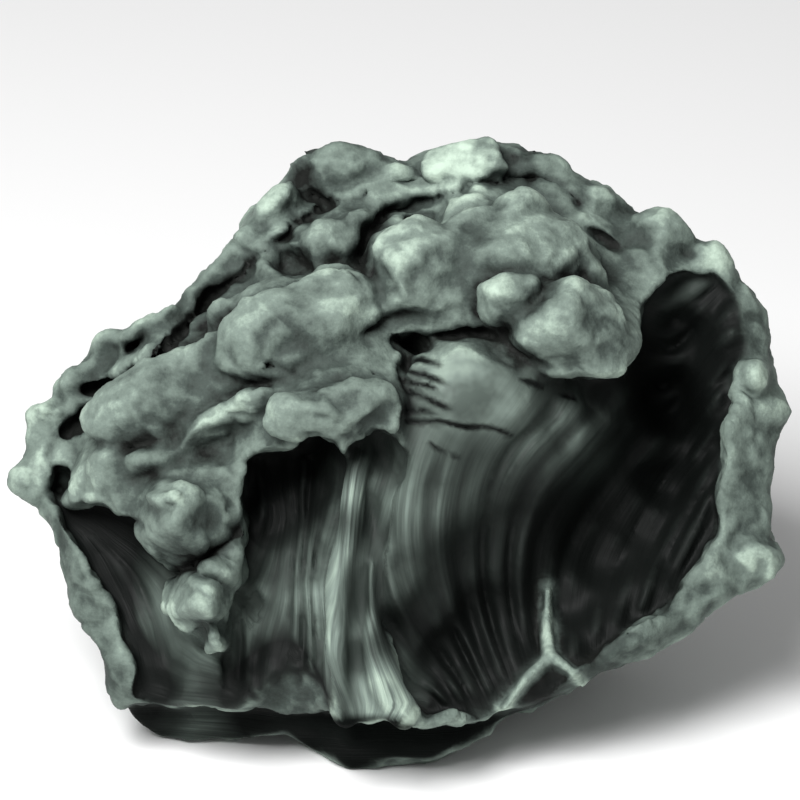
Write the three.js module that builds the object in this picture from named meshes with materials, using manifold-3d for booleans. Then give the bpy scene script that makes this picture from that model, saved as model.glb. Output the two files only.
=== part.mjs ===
// A hand-sized chunk of obsidian, one stone in one solid. A lumpy, pitted crust covers its top,
// its rims and its back. Out of its face are broken three glassy hollows with folds like hanging
// cloth, a ribbed column stands between two of them, and the base tucks in under the lower lip.
//
// The face is laid out on a sketch plane that leans back. There u runs to the right, v up the
// slope and w straight out of the plane, in millimetres at DRAWN_WIDTH. Angles are in degrees.

import * as THREE from 'three';
import { mergeVertices } from 'three/addons/utils/BufferGeometryUtils.js';
import Module from 'manifold-3d';

// ---------------------------------------------------------------- driving dimensions

const WIDTH = 140; // across the stone, left to right
const DRAWN_WIDTH = 140; // the width at which the lists below are written
const LEAN = 28; // how far the sketch plane leans back from upright
const BASE_DROP = 54; // from the sketch plane's origin straight down to the flat underside
const FRONT_ROUNDING = 12; // how far in from the edge the face keeps curving
const BACK_ROUNDING = 26; // the same for the back
const FACETS = 15; // worn facets round each lump
const FACET_SHARPNESS = 14; // more makes the edges between facets sharper

const STONE_COLOUR = '#4d5650';
const STONE_ROUGHNESS = 0.6;

// The edge of the stone seen square to the sketch plane, counterclockwise, as [u, v].
const OUTLINE = [
  [-19.5, 53.5], [-22.5, 49], [-27.5, 43], [-31.5, 35.5], [-35.5, 32], [-42, 25.5], [-48, 22.5],
  [-53.5, 18], [-60.5, 14.5], [-62.5, 10], [-68, 7], [-68, 0], [-70.5, -5.5], [-65, -10],
  [-62.5, -15], [-60.5, -22.5], [-58.5, -28.5], [-54, -35.5], [-53, -43], [-50, -47.5],
  [-44.5, -51.5], [-39.5, -52], [-28.5, -51.5], [-21.5, -50.5], [-18, -52.5], [-13.5, -55.5],
  [-10, -57.5], [-2, -56.5], [5.5, -55.8], [12, -52], [17.5, -47.8], [28.5, -43], [35.5, -39.5],
  [45.5, -35.5], [50, -32.5], [53.5, -29], [60.5, -25], [65, -19.5], [65.5, -12.5], [65.5, -3.5],
  [66.5, 2], [69.5, 7], [67, 12.5], [65.5, 19], [64.5, 25], [60, 32], [54.5, 37], [50, 39.5],
  [43, 43], [36.5, 48], [29.5, 50], [23, 53.5], [20.5, 55.5], [13.5, 56], [9, 55], [5, 55],
  [0, 52.5], [-5.5, 54], [-11.5, 55.5], [-19, 55.5],
];

// Heights of the unbroken face, as [u, v, w]. Between them the face is blended.
const FACE_HEIGHTS = [
  [-18, 52, -21], [0, 51, -20], [21.5, 51, -20], [37.5, 44.5, -17], [52, 36.5, -14],
  [61.5, 27, -13], [0, 44.5, -13], [25, 44.5, -13], [35.5, 38.5, -10], [46.5, 33, -7],
  [-12.5, 37.5, -9], [0, 35.5, 0], [18, 39.5, -4], [9, 28.5, 8], [25, 27, 9], [5, 21.5, 6],
  [15, 22, 7], [34, 18, 15], [10.5, 12.5, 19], [0, 3.5, 19], [-12.5, 7, 19], [-18, 19.5, 11],
  [-18, 30.5, -1], [-39.5, 10.5, 4], [-30.5, 27, -6], [-55.5, 9, -9], [-60.5, 0, -9], [-52, -3.5, 6],
  [-40, -10.5, 13], [-36.5, -27, 12], [-55.5, -19.5, 1], [-56.5, -30.5, -2], [-51, -43, -5],
  [-32, -43, 7], [-35.5, -51, -7], [-18, -51, -2], [-9, -5.5, 18], [-9, -27, 17],
  [-5.5, -44.5, 13], [-5.5, -55.5, 2], [10.5, -47.5, 9], [25.5, -39.5, 11], [37.5, -36.5, 6],
  [53.5, -25, 1], [63.5, -19.5, -5], [60.5, 0, -2], [65, 0, -8], [63.5, 16, -8], [60, 25, -7],
  [28.5, -9, 14], [46.5, 9, 7],
];

// Heights of the back, below the sketch plane.
const BACK_HEIGHTS = [
  [0, 44.5, -42], [-27, 21.5, -44], [28.5, 30.5, -50], [0, 3.5, -54], [-44.5, -5.5, -40],
  [44.5, 5.5, -50], [-9, -27, -56], [35.5, -19.5, -56], [57, -5.5, -34], [-55.5, -19.5, -34],
];

// Lumps grown into the crust: middle, half length, half width and half thickness, how far each
// stands proud of the face, and how it is turned round w and tilted back.
const CRUST_LUMPS = [
  // slabs and blocks along the top rim
  { at: [-12.5, 51], half: [8.5, 5.5, 4.5], proud: 3.5, tilt: -34 },
  { at: [-4, 49.5], half: [7.5, 3.5, 4], proud: 3, turn: -4, tilt: -32 },
  { at: [11, 52], half: [9, 5.5, 5], proud: 4.5, turn: 3, tilt: -34 },
  { at: [24.5, 50.5], half: [7.5, 3.5, 4.5], proud: 3, turn: -32, tilt: -32 },
  { at: [-23.5, 42.5], half: [7.5, 3.5, 5], proud: 4, turn: 52, tilt: -25 },
  // the right rim
  { at: [35.5, 44], half: [5.5, 3, 5], proud: 2, turn: -38, tilt: -27 },
  { at: [45.5, 39], half: [7, 5, 5], proud: 3.5, turn: -28, tilt: -27 },
  { at: [54.5, 33.5], half: [6, 4.5, 5], proud: 3, turn: -36, tilt: -27 },
  { at: [61.5, 24.5], half: [3.5, 6.5, 8], proud: 2, turn: 25 },
  { at: [63, 13.5], half: [4, 5, 9], proud: 5.5, turn: 10 },
  { at: [62, 0], half: [4, 8.5, 7], proud: 2, turn: 4 },
  { at: [61.5, -20], half: [7, 5, 7], proud: 3.5, turn: 30 },
  { at: [52, -27], half: [7.5, 3, 6], proud: 2, turn: 33 },
  { at: [38, -34.5], half: [9, 2, 5], proud: 1, turn: 24 },
  // the left rim
  { at: [-32, 32], half: [5.5, 3, 5], proud: 2, turn: 42, tilt: -20 },
  { at: [-41, 23.5], half: [4.5, 2.5, 5], proud: 2, turn: 38, tilt: -20 },
  { at: [-52.5, 18], half: [7.5, 3, 5], proud: 2.5, turn: 28, tilt: -20 },
  { at: [-64.5, 6.5], half: [4.5, 3, 5], proud: 3, turn: 20, tilt: -12 },
  { at: [-65, -1], half: [3, 3.5, 6], proud: 2, turn: -20 },
  { at: [-68, -5.5], half: [3, 2, 5], proud: 1.5 },
  // knobs in the middle of the top
  { at: [14, 33.5], half: [19, 12, 8], proud: 7, turn: 8, tilt: -27 },
  { at: [-12.5, 36.5], half: [6.5, 6.5, 6.5], proud: 6.5, tilt: -27 },
  { at: [-7.5, 41.5], half: [3.5, 3, 5], proud: 5, turn: 35, tilt: -27 },
  { at: [2.5, 32], half: [10.5, 10, 9], proud: 10.5, turn: 10, tilt: -25 },
  { at: [11.5, 38.5], half: [8, 3.5, 6], proud: 8.5, turn: 30, tilt: -27 },
  { at: [20, 41.5], half: [6, 6, 7], proud: 9, tilt: -27 },
  { at: [29.5, 34], half: [5.5, 9.5, 7], proud: 7, turn: 32, tilt: -25 },
  { at: [19, 27.5], half: [6.5, 5.5, 7], proud: 10, turn: 8, tilt: -20 },
  // broad plates and small lumps on the upper left
  { at: [-19, 22.5], half: [17.5, 9.5, 6], proud: 4, turn: 19, tilt: -27 },
  { at: [-22.5, 27], half: [17, 5, 5], proud: 4, turn: 22, tilt: -27 },
  { at: [-38.5, 12], half: [21, 9.5, 6], proud: 5, turn: 27, tilt: -24 },
  { at: [-12.5, 8], half: [13.5, 6, 6], proud: 4.5, turn: 8, tilt: -12 },
  { at: [-51.5, -3], half: [6, 4.5, 6], proud: 3.5, tilt: -6 },
  { at: [-43, -0.5], half: [5.5, 3, 6], proud: 3, turn: 10, tilt: -6 },
  { at: [-34.5, 4.5], half: [5, 3, 6], proud: 5, turn: 42, tilt: -12 },
  { at: [-26.5, 9.5], half: [5.5, 3, 6], proud: 4.5, turn: 28, tilt: -12 },
];

// Lumps that hang over the hollows, so they are added after the hollows are cut.
const HANGING_LUMPS = [
  { at: [28.5, 22.5], half: [11.5, 9.5, 11], proud: 10, turn: 22, tilt: -12 },
  { at: [-38, -12], half: [9.5, 9.5, 19], proud: 7.5 },
  { at: [-41, -7.5], half: [5, 3, 9], proud: 8, turn: 10 },
  { at: [-33, -21], half: [5, 4.5, 16], proud: 6.5 },
  { at: [-36.3, -26.8], half: [6.8, 7, 18], proud: 7.5, turn: 25 },
  { at: [-33.8, -33], half: [3, 4.5, 14], proud: 4.5, turn: 30 },
];

// Small pits sunk into the crust.
const PITS = [
  { at: [-21, 34.5], half: [6, 4], deep: 7, turn: -30 },
  { at: [-36, 26.5], half: [1.2, 3], deep: 6, turn: -20 },
  { at: [-46.5, 19.5], half: [2.5, 1.5], deep: 6, turn: 38 },
  { at: [-61.5, -6], half: [2.8, 4], deep: 9 },
  { at: [-56, 7], half: [4, 1.8], deep: 5, turn: 40 },
  { at: [35, 38], half: [4.5, 1.5], deep: 3.5, turn: -25 },
  { at: [1, 19], half: [4, 2.3], deep: 12, turn: -12 },
  { at: [10, 20.5], half: [8, 1.2], deep: 5 },
  { at: [4, 43], half: [5, 2.6], deep: 4, turn: 20 },
];

// Cracks that wander over the face, as half width and a path of [u, v].
const CRACKS = [
  // inside the left rim
  { half: 1.2, path: [[-14.5, 44.5], [-24.5, 36], [-35.5, 26.5], [-44.5, 16.5], [-56, 10.5]] },
  { half: 1.2, path: [[-52.5, 10], [-56.5, 7], [-60.5, 4]] },
  // under the top rim
  { half: 0.8, path: [[-17, 46.5], [-12, 45], [-6, 46]] },
  { half: 0.9, path: [[3, 45.5], [9, 46.5], [19, 49.5], [24, 48.5], [31, 44]] },
  // left of the knobs
  { half: 1.5, path: [[3, 45.5], [-3.5, 42.5], [-6.5, 39], [-7.5, 34]] },
  // under the upper plate
  { half: 0.7, path: [[-37.5, 17], [-31.5, 20], [-24, 15], [-14.5, 12.5], [-5, 14]] },
  // round the hanging lump, and down past the shoulder
  { half: 0.9, path: [[-28.5, -11], [-30.5, -15], [-34, -18], [-40, -20.5]] },
  { half: 1.4, path: [[1.5, 18], [-0.5, 14], [0.5, 9], [-1, 3]] },
];

// Shallow scars where flakes came off the back and the sides, as the middle and radius of the
// ball that each scar is a part of.
const FLAKE_SCARS = [
  { middle: [-53, 5, -94], radius: 60 },
  { middle: [64, -11, -106], radius: 70 },
  { middle: [5, 66, -79], radius: 50 },
  { middle: [5, -45, -106], radius: 55 },
  { middle: [93, -28, -42], radius: 40 },
  { middle: [-90, -36, -42], radius: 40 },
];

// Ridges along the hollows: half width at the start and at the end, how far each stands proud of
// the hollow's floor, and a path of [u, v].
const RIDGES = [
  // the thin fork at the lower lip
  { half: [1.6, 0.7], proud: 3.4, path: [[25.9, -36.4], [25.6, -31], [25.2, -24.5]] },
  { half: [1.6, 0.9], proud: 3.2, path: [[25.9, -36.4], [22.3, -38.6], [18.6, -43.5]] },
  { half: [1.6, 0.9], proud: 3.2, path: [[25.9, -36.4], [29.2, -38.3], [31.6, -40.8]] },
  // the ribs of the column
  { half: [1.8, 2.2], proud: 1.5, path: [[-7.9, -1], [-11.9, -25], [-12.4, -35], [-10.8, -46]] },
  { half: [1.2, 3.4], proud: 1.5, path: [[-5.7, -19], [-6.2, -32.5], [-3.4, -40.5], [-0.3, -45.7]] },
];
const RIDGE_DEPTH = 3.5; // how far each ridge reaches down into the stone

// The long folds of the main hollow sweep down from the upper right and curl at the foot. Along
// one fold (u + slant * v + reach) * exp(-curl * v) stays the same. spacing is that at v = 0.
const FOLD_SWEEP = { slant: 1.67, reach: 129.5, curl: 0.0151, spacing: 6.2 };
const ROOMY_FOLD = 4; // folds narrower than this flatten out
const SHOULDER = { at: [9.5, 12.5], radius: 12 }; // the smooth place above the folds

// Each hollow has folds that run from its foot to its top, between a left and a right edge that
// are listed from the foot up. floor holds heights of its floor, as [u, v, w].
const MAIN_HOLLOW = {
  top: [55.5, 32.5],
  foot: [4.5, -46.6],
  left: [
    [0.5, -43], [-2.5, -35], [-4.5, -27], [-4, -18], [-2.5, -9], [0, 2], [0, 9], [1.5, 17.5],
    [7, 19], [18, 17.5], [21.5, 15.5], [28.5, 13], [39.5, 14.5], [41.5, 18.5], [43, 27], [45, 30],
    [50, 32],
  ],
  right: [
    [19, -46], [28.5, -41], [35.5, -36.5], [45.5, -29], [53.5, -19], [55.5, -14.5], [57, 0],
    [58.5, 9], [61, 19.5], [60, 27],
  ],
  floor: [
    [0.5, 15, 12], [9, 15.5, 14], [9, 10.5, 17], [18, 9, 14], [3.5, 0, 14], [4.5, -9, 12],
    [-1.5, -12.5, 12], [-2, -24, 9], [-1.5, -33, 3], [5.5, -27, 3], [9, -35.5, -4],
    [14.5, -18, -1], [21.5, 0, 7], [28.5, 5.5, 3], [35.5, 9, -6], [43, 0, -18], [48, 9, -30],
    [50, 21.5, -23], [53.5, 27, -15], [45.5, 27, -16], [59, 21.5, -10], [58, 9, -14],
    [56.5, -9, -12], [52, -17, -11], [35.5, -18, -15], [43, -12.5, -18], [28.5, -27, -9],
    [25, -34, -5], [43, -27, -6], [35.5, -34, -2], [28.5, -37.5, 2], [18, -43, 1], [7, -44.5, 2],
    [13.5, -28.5, -6], [46.5, -5.5, -24], [39.5, -9, -17], [25.5, -39.5, 3], [22, -41.5, 2],
    [29.5, -39, 2.5], [25, -42.5, 0],
  ],
  sweep: FOLD_SWEEP,
  foldHeight: 3.6,
  wander: 0.4,
  columns: 40,
  rows: 13,
};

const LEFT_HOLLOW = {
  top: [-17, 3.5],
  foot: [-20.5, -47],
  left: [
    [-33, -41], [-31.5, -30.5], [-29.5, -20], [-28, -11], [-28.5, -3], [-28.5, -0.5], [-24, 0],
    [-21.5, 0.5], [-19, 1.5],
  ],
  right: [[-12.5, -44.5], [-12.5, -34], [-12.5, -23], [-10.5, -12.5], [-9.5, -3], [-11.5, 2]],
  floor: [
    [-18, 0, -6], [-24, -2.5, -8], [-18, -9, -4], [-24, -12.5, -4], [-19.5, -19.5, 1],
    [-19.5, -30.5, 4], [-21.5, -41, 5], [-15, -27, 7], [-26, -27, 2], [-15, -40.5, 8],
    [-12.5, -12.5, 5], [-27, -5, -6], [-28, -20, -2], [-31, -35, -1], [-11, -1, 2],
  ],
  folds: 6,
  foldHeight: 3,
  wander: 1.7,
  columns: 24,
  rows: 8,
};

// The ribbed column between the two, set back a little from the face.
const COLUMN = {
  top: [-5, 4],
  foot: [-3, -51],
  left: [[-11, -47], [-14, -36], [-14.5, -24], [-13, -12.5], [-11.5, -3], [-9.5, 2]],
  right: [[2, -44], [-1.5, -35], [-3.5, -27], [-3, -18], [-1.5, -9], [1, 0], [-1, 3]],
  floor: [
    [-8.5, 0, 9], [-3.5, 0, 5], [0, 1, 12], [-10.5, -10, 12], [-6, -10, 5], [-2.5, -10, 11],
    [-12, -25, 13], [-7.5, -25, 6], [-4.5, -25, 9], [-12, -36, 13], [-8, -36, 8],
    [-5, -37, 13], [-8, -46, 11], [-3, -46, 12], [-12, -46, 9],
  ],
  folds: 4,
  foldHeight: 1.3,
  wander: 2.1,
  columns: 15,
  rows: 8,
};

const LOW_HOLLOW = {
  top: [-62, -9],
  foot: [-13, -45.5],
  left: [
    [-19.5, -46], [-29.5, -46], [-43, -45.5], [-47.5, -44], [-48.5, -35.5], [-52, -27],
    [-57, -19], [-61, -13.5],
  ],
  right: [
    [-14, -43], [-18, -34], [-24.5, -27], [-28.5, -21.5], [-37.5, -17], [-45.5, -12.5],
    [-53.5, -9],
  ],
  floor: [
    [-58, -12.5, -9], [-54.5, -17, -8], [-50, -23, -7], [-44.5, -34, -5], [-44.5, -43, -5],
    [-41, -19.5, -3], [-35.5, -27, -3], [-30.5, -27, 0], [-35.5, -43, 1], [-30.5, -37.5, 2],
    [-25, -34, 4], [-18, -43, 8], [-23, -44.5, 7],
  ],
  folds: 6,
  foldHeight: 1.9,
  wander: 0.6,
  columns: 17,
  rows: 8,
};

// The tucked-in base, cut away under the lower lip. Its lower edge lies below the stone.
const UNDERCUT = {
  top: [22, -45.5],
  foot: [-55, -45.5],
  left: [
    [-44.5, -45.3], [-29.5, -45.5], [-19.5, -46], [-12.5, -46.2], [-9, -46.8], [-2.5, -47.3],
    [3.6, -47.9], [9, -48], [12.5, -47.3], [16, -46.3],
  ],
  right: [[-53.5, -60.5], [-18, -65], [19.5, -60.5]],
  floor: [
    [-52, -47, -16], [-44.5, -47.5, -12], [-35.5, -47.5, -10], [-35.5, -52, -15],
    [-44.5, -51, -17], [-18, -48.5, -4], [-18, -52.5, -12], [-9, -50.5, 1], [-9, -57, -7],
    [3.5, -52, 0], [3.5, -55.5, -5], [14.5, -49.5, -4], [19.5, -47, -4],
  ],
  folds: 14,
  foldHeight: 0.8,
  wander: 2.4,
  columns: 9,
  rows: 14,
};

const HOLLOWS = [COLUMN, MAIN_HOLLOW, LEFT_HOLLOW, LOW_HOLLOW, UNDERCUT];

// ---------------------------------------------------------------- helpers

const wasm = await Module();
wasm.setup();

const SCALE = WIDTH / DRAWN_WIDTH;
const ROOF = 60; // the cutters reach this far out of the sketch plane, clear of the stone
const sketchToWorld = new THREE.Matrix4()
  .makeScale(SCALE, SCALE, SCALE)
  .multiply(new THREE.Matrix4().makeTranslation(0, 0, BASE_DROP))
  .multiply(new THREE.Matrix4().makeRotationX(Math.PI / 2 - THREE.MathUtils.degToRad(LEAN)));

function clamp01(value) {
  return Math.min(Math.max(value, 0), 1);
}

// A closed geometry as a manifold solid.
function solid(geometry) {
  const bare = geometry.clone();
  bare.deleteAttribute('normal');
  bare.deleteAttribute('uv');
  const merged = mergeVertices(bare, 1e-5);
  const vertProperties = new Float32Array(merged.attributes.position.array);
  const triVerts = new Uint32Array(merged.index.array);
  return new wasm.Manifold(new wasm.Mesh({ numProp: 3, vertProperties, triVerts }));
}

// A manifold solid as a geometry.
function surface(stone) {
  const { vertProperties, triVerts } = stone.getMesh();
  const geometry = new THREE.BufferGeometry();
  geometry.setAttribute('position', new THREE.BufferAttribute(new Float32Array(vertProperties), 3));
  geometry.setIndex(new THREE.BufferAttribute(new Uint32Array(triVerts), 1));
  return geometry;
}

// A sphere whose points are moved by place(row, column, unitPoint), which returns a Vector3.
function shapedSphere(columns, rows, place) {
  const sphere = new THREE.SphereGeometry(1, columns, rows);
  const points = sphere.attributes.position;
  const unit = new THREE.Vector3();
  for (let i = 0; i < points.count; i += 1) {
    const row = Math.floor(i / (columns + 1));
    const column = i % (columns + 1) % columns;
    unit.fromBufferAttribute(points, i);
    const moved = place(row, row === 0 || row === rows ? 0 : column, unit);
    points.setXYZ(i, moved.x, moved.y, moved.z);
  }
  return sphere;
}

// A height at (u, v), blended from listed heights. The nearest ones count most.
function blendedHeight(heights, u, v, softness) {
  let total = 0;
  let weights = 0;
  for (const [x, y, height] of heights) {
    const weight = 1 / ((u - x) ** 2 + (v - y) ** 2 + softness ** 2) ** 2;
    total += weight * height;
    weights += weight;
  }
  return total / weights;
}

// How far (u, v) lies inside the outline. It is 0 on the outline and outside it.
function rimDistance(u, v) {
  let nearest = Infinity;
  let inside = false;
  OUTLINE.forEach(([ax, ay], i) => {
    const [bx, by] = OUTLINE[(i + 1) % OUTLINE.length];
    const along = ((u - ax) * (bx - ax) + (v - ay) * (by - ay)) / ((bx - ax) ** 2 + (by - ay) ** 2);
    const t = clamp01(along);
    nearest = Math.min(nearest, Math.hypot(u - ax - t * (bx - ax), v - ay - t * (by - ay)));
    if (ay > v !== by > v && u < ((bx - ax) * (v - ay)) / (by - ay) + ax) {
      inside = !inside;
    }
  });
  return inside ? nearest : 0;
}

// The height at which the stone is widest. It drops towards the tucked-in base.
function edgeHeight(v) {
  const drop = clamp01((-38 - v) / 16);
  return -11 - 0.2 * v - 13 * drop * drop * (3 - 2 * drop);
}

// How much of the full rise is left near the rim, from 0 on the outline to 1.
function rimRise(u, v, rounding) {
  const inset = clamp01(rimDistance(u, v) / rounding);
  return Math.sqrt(1 - (1 - inset) ** 2);
}

function faceHeight(u, v) {
  const edge = edgeHeight(v);
  const rise = Math.max(blendedHeight(FACE_HEIGHTS, u, v, 5) - edge, 4);
  return edge + rise * rimRise(u, v, FRONT_ROUNDING);
}

function backHeight(u, v) {
  const edge = edgeHeight(v);
  const fall = Math.max(edge - blendedHeight(BACK_HEIGHTS, u, v, 10), 6);
  return edge - fall * rimRise(u, v, BACK_ROUNDING);
}

// A smooth sideways wander, so that no form comes out regular.
function wobble(point, size, amount, seed) {
  const x = point.x / size;
  const y = point.y / size;
  const z = point.z / size;
  const { sin } = Math;
  return new THREE.Vector3(
    sin(1.7 * y + 0.9 * z + seed) + 0.6 * sin(3.1 * z - 2.3 * x + 1.3 * seed + 1),
    sin(1.5 * z - 1.1 * x + 2 + seed) + 0.6 * sin(2.9 * x + 2.6 * y + 0.7 * seed),
    sin(1.9 * x + 1.2 * y + 4 + seed) + 0.6 * sin(2.7 * y - 3 * z + seed),
  ).multiplyScalar(amount);
}

// turn goes round w, and tilt lifts the upper side of a form out of the plane.
function turned(turn, tilt) {
  const { degToRad } = THREE.MathUtils;
  const about = new THREE.Matrix4().makeRotationZ(degToRad(turn));
  return about.multiply(new THREE.Matrix4().makeRotationX(degToRad(tilt)));
}

// A point in the middle of a path of [u, v] or [u, v, w], at t from 0 to 1.
function pathPoint(path, t) {
  const curve = new THREE.CatmullRomCurve3(path.map(([u, v, w = 0]) => new THREE.Vector3(u, v, w)));
  return curve.getPoint(t);
}

// The offset of a listed edge at a place along the line from foot to top.
function edgeOffset(stations, along) {
  const next = stations.findIndex(([station]) => station >= along);
  if (next <= 0) {
    return 0;
  }
  const [s0, offset0] = stations[next - 1];
  const [s1, offset1] = stations[next];
  return offset0 + ((offset1 - offset0) * (along - s0)) / (s1 - s0);
}

// ---------------------------------------------------------------- forms

// The unbroken stone: rings that run from the middle of the face over the rim to the back.
function body() {
  const faceRings = 8;
  const backRings = 4;
  const crowding = 1.8; // draws the rings together towards the rim
  return shapedSphere(OUTLINE.length, faceRings + backRings, (row, column) => {
    const onFace = row <= faceRings;
    const step = onFace ? (faceRings - row) / faceRings : (row - faceRings) / backRings;
    const reach = 1 - step ** crowding;
    const u = OUTLINE[column][0] * reach;
    const v = OUTLINE[column][1] * reach;
    return new THREE.Vector3(u, v, onFace ? faceHeight(u, v) : backHeight(u, v));
  });
}

// Directions of a lump's facets and how far out each one lies, as a share of the radius.
function facetWays(seed) {
  return Array.from({ length: FACETS }, (_, number) => {
    const z = 1 - (2 * number + 1) / FACETS;
    const angle = 2.4 * number + seed;
    const flat = Math.sqrt(1 - z * z);
    const out = 0.85 + 0.1 * Math.sin(1.7 * number * number + seed);
    return new THREE.Vector3(flat * Math.cos(angle), flat * Math.sin(angle), z).divideScalar(out);
  });
}

// A wandering ellipsoid with worn facets.
function blob(middle, half, turn, tilt, columns, rows) {
  const place = turned(turn, tilt).setPosition(middle);
  const ways = facetWays(middle.x);
  return shapedSphere(columns, rows, (row, column, unit) => {
    const point = new THREE.Vector3(unit.x, -unit.z, unit.y);
    const parts = ways.map((way) => Math.max(point.dot(way), 0) ** FACET_SHARPNESS);
    const sum = parts.reduce((total, part) => total + part, 0.96 ** FACET_SHARPNESS);
    point.divideScalar(sum ** (1 / FACET_SHARPNESS)).multiply(new THREE.Vector3(...half));
    point.applyMatrix4(place);
    return point.sub(wobble(point, 7, 0.5, middle.x));
  });
}

function lump({ at: [u, v], half, proud, turn = 0, tilt = 0 }) {
  const middle = new THREE.Vector3(u, v, faceHeight(u, v) + proud - half[2]);
  const [columns, rows] = Math.max(half[0], half[1]) > 8 ? [9, 7] : [6, 5];
  return blob(middle, half, turn, tilt, columns, rows);
}

function pit({ at: [u, v], half, deep, turn = 0 }) {
  const middle = new THREE.Vector3(u, v, faceHeight(u, v) + 1);
  return blob(middle, [...half, deep + 1], turn, 0, 6, 5);
}

function flakeScar({ middle, radius }) {
  return new THREE.SphereGeometry(radius, 20, 15).translate(...middle);
}

// A spindle along a path, thin across and deep along w. halfAt and middleAt depend on t.
function spindle(path, halfAt, depthAt, middleAt) {
  const stations = path.length + 1;
  return shapedSphere(4, stations, (row, column, unit) => {
    const t = row / stations;
    const taper = Math.sqrt(Math.max(1 - (2 * t - 1) ** 4, 0));
    const here = pathPoint(path, t);
    const step = 0.01;
    const ahead = pathPoint(path, Math.min(t + step, 1));
    const behind = pathPoint(path, Math.max(t - step, 0));
    const direction = ahead.sub(behind).setZ(0).normalize();
    const ring = Math.hypot(unit.x, unit.z) || 1;
    const across = (unit.x / ring) * halfAt(t) * taper;
    const out = (unit.z / ring) * depthAt(t) * taper;
    return new THREE.Vector3(
      here.x - direction.y * across,
      here.y + direction.x * across,
      middleAt(here) + out,
    );
  });
}

function crack({ half, path }) {
  const depth = half * 3.3;
  return spindle(path, () => half, () => depth, (here) => faceHeight(here.x, here.y) + 1);
}

function ridge({ half: [start, end], proud, path }) {
  const halfAt = (t) => start + (end - start) * t;
  const middleAt = (here) => brokenHeight(here.x, here.y) + proud - RIDGE_DEPTH;
  return spindle(path, halfAt, () => RIDGE_DEPTH, middleAt);
}

// The line of a hollow from foot to top, with its edges as offsets from that line.
function hollowLine({ top, foot, left, right }) {
  const start = new THREE.Vector2(...foot);
  const axis = new THREE.Vector2(...top).sub(start);
  const length = axis.length();
  axis.normalize();
  const across = new THREE.Vector2(-axis.y, axis.x);
  const stations = (edge) => {
    const listed = edge.map((point) => {
      const from = new THREE.Vector2(...point).sub(start);
      return [from.dot(axis), from.dot(across)];
    });
    return [[0, 0], ...listed, [length, 0]];
  };
  return { start, axis, across, length, left: stations(left), right: stations(right) };
}

// The height of a hollow's folded floor. share runs from its left edge to its right one.
function floorHeight(hollow, share, along, width, u, v) {
  const { floor, folds, sweep, foldHeight, wander } = hollow;
  const { sin, exp, sqrt, PI } = Math;
  const curl = sweep ? exp(sweep.curl * v) : 1;
  const foldWidth = sweep ? sweep.spacing * curl : width / folds;
  const count = sweep ? (u + sweep.slant * v + sweep.reach) / curl / sweep.spacing : folds * share;
  const turn = 0.3 * sin(5.1 * share + 2.2 * along + wander);
  const sway = 0.22 * sin(9 * along + 7 * share + 2 * wander);
  const fold = sqrt(sin(PI * (count + turn + sway)) ** 2 + 0.05) - 0.5;
  const strength = 0.62 + 0.38 * sin(11 * share + 3 * along + 3 * wander);
  const away = ((u - SHOULDER.at[0]) ** 2 + (v - SHOULDER.at[1]) ** 2) / SHOULDER.radius ** 2;
  const rim = Math.min(share, 1 - share) * width;
  const room = clamp01(foldWidth / ROOMY_FOLD) ** 1.5 * clamp01(rim / 3) * (1 - exp(-away * away));
  return blendedHeight(floor, u, v, 3) + foldHeight * room * strength * fold;
}

// The face with the hollows in it.
function brokenHeight(u, v) {
  return HOLLOWS.reduce((height, hollow) => {
    const { start, axis, across, length, left, right } = hollowLine(hollow);
    const from = new THREE.Vector2(u, v).sub(start);
    const along = from.dot(axis);
    const leftEdge = edgeOffset(left, along);
    const width = leftEdge - edgeOffset(right, along);
    const share = (leftEdge - from.dot(across)) / Math.max(width, 0.5);
    if (along < 0 || along > length || share < 0 || share > 1) {
      return height;
    }
    return Math.min(height, floorHeight(hollow, share, along / length, width, u, v));
  }, faceHeight(u, v));
}

// The solid that breaks a hollow out of the stone: a folded floor, upright sides and a roof.
function hollowCutter(hollow) {
  const { columns, rows } = hollow;
  const { start, axis, across, length, left, right } = hollowLine(hollow);
  const floorColumns = columns - 5; // the last five columns make the roof and the sides
  return shapedSphere(columns, rows, (row, column) => {
    const along = (1 + Math.cos((Math.PI * row) / rows)) / 2;
    const leftEdge = edgeOffset(left, along * length);
    const width = leftEdge - edgeOffset(right, along * length);
    const onFloor = column <= floorColumns;
    const share = onFloor ? 1 - column / floorColumns : (column - floorColumns - 1) / 4;
    const offset = leftEdge - width * share;
    const point = start.clone().addScaledVector(axis, along * length).addScaledVector(across, offset);
    const isEnd = row === 0 || row === rows;
    const height =
      onFloor && !isEnd ? floorHeight(hollow, share, along, width, point.x, point.y) : ROOF;
    return new THREE.Vector3(point.x, point.y, height);
  });
}

// ---------------------------------------------------------------- the stone

function brokenStone() {
  let stone = solid(body());
  for (const item of CRUST_LUMPS) {
    stone = stone.add(solid(lump(item)));
  }
  for (const item of HOLLOWS) {
    stone = stone.subtract(solid(hollowCutter(item)));
  }
  for (const item of FLAKE_SCARS) {
    stone = stone.subtract(solid(flakeScar(item)));
  }
  for (const item of HANGING_LUMPS) {
    stone = stone.add(solid(lump(item)));
  }
  for (const item of PITS) {
    stone = stone.subtract(solid(pit(item)));
  }
  for (const item of CRACKS) {
    stone = stone.subtract(solid(crack(item)));
  }
  for (const item of RIDGES) {
    stone = stone.add(solid(ridge(item)));
  }
  return stone;
}

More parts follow.
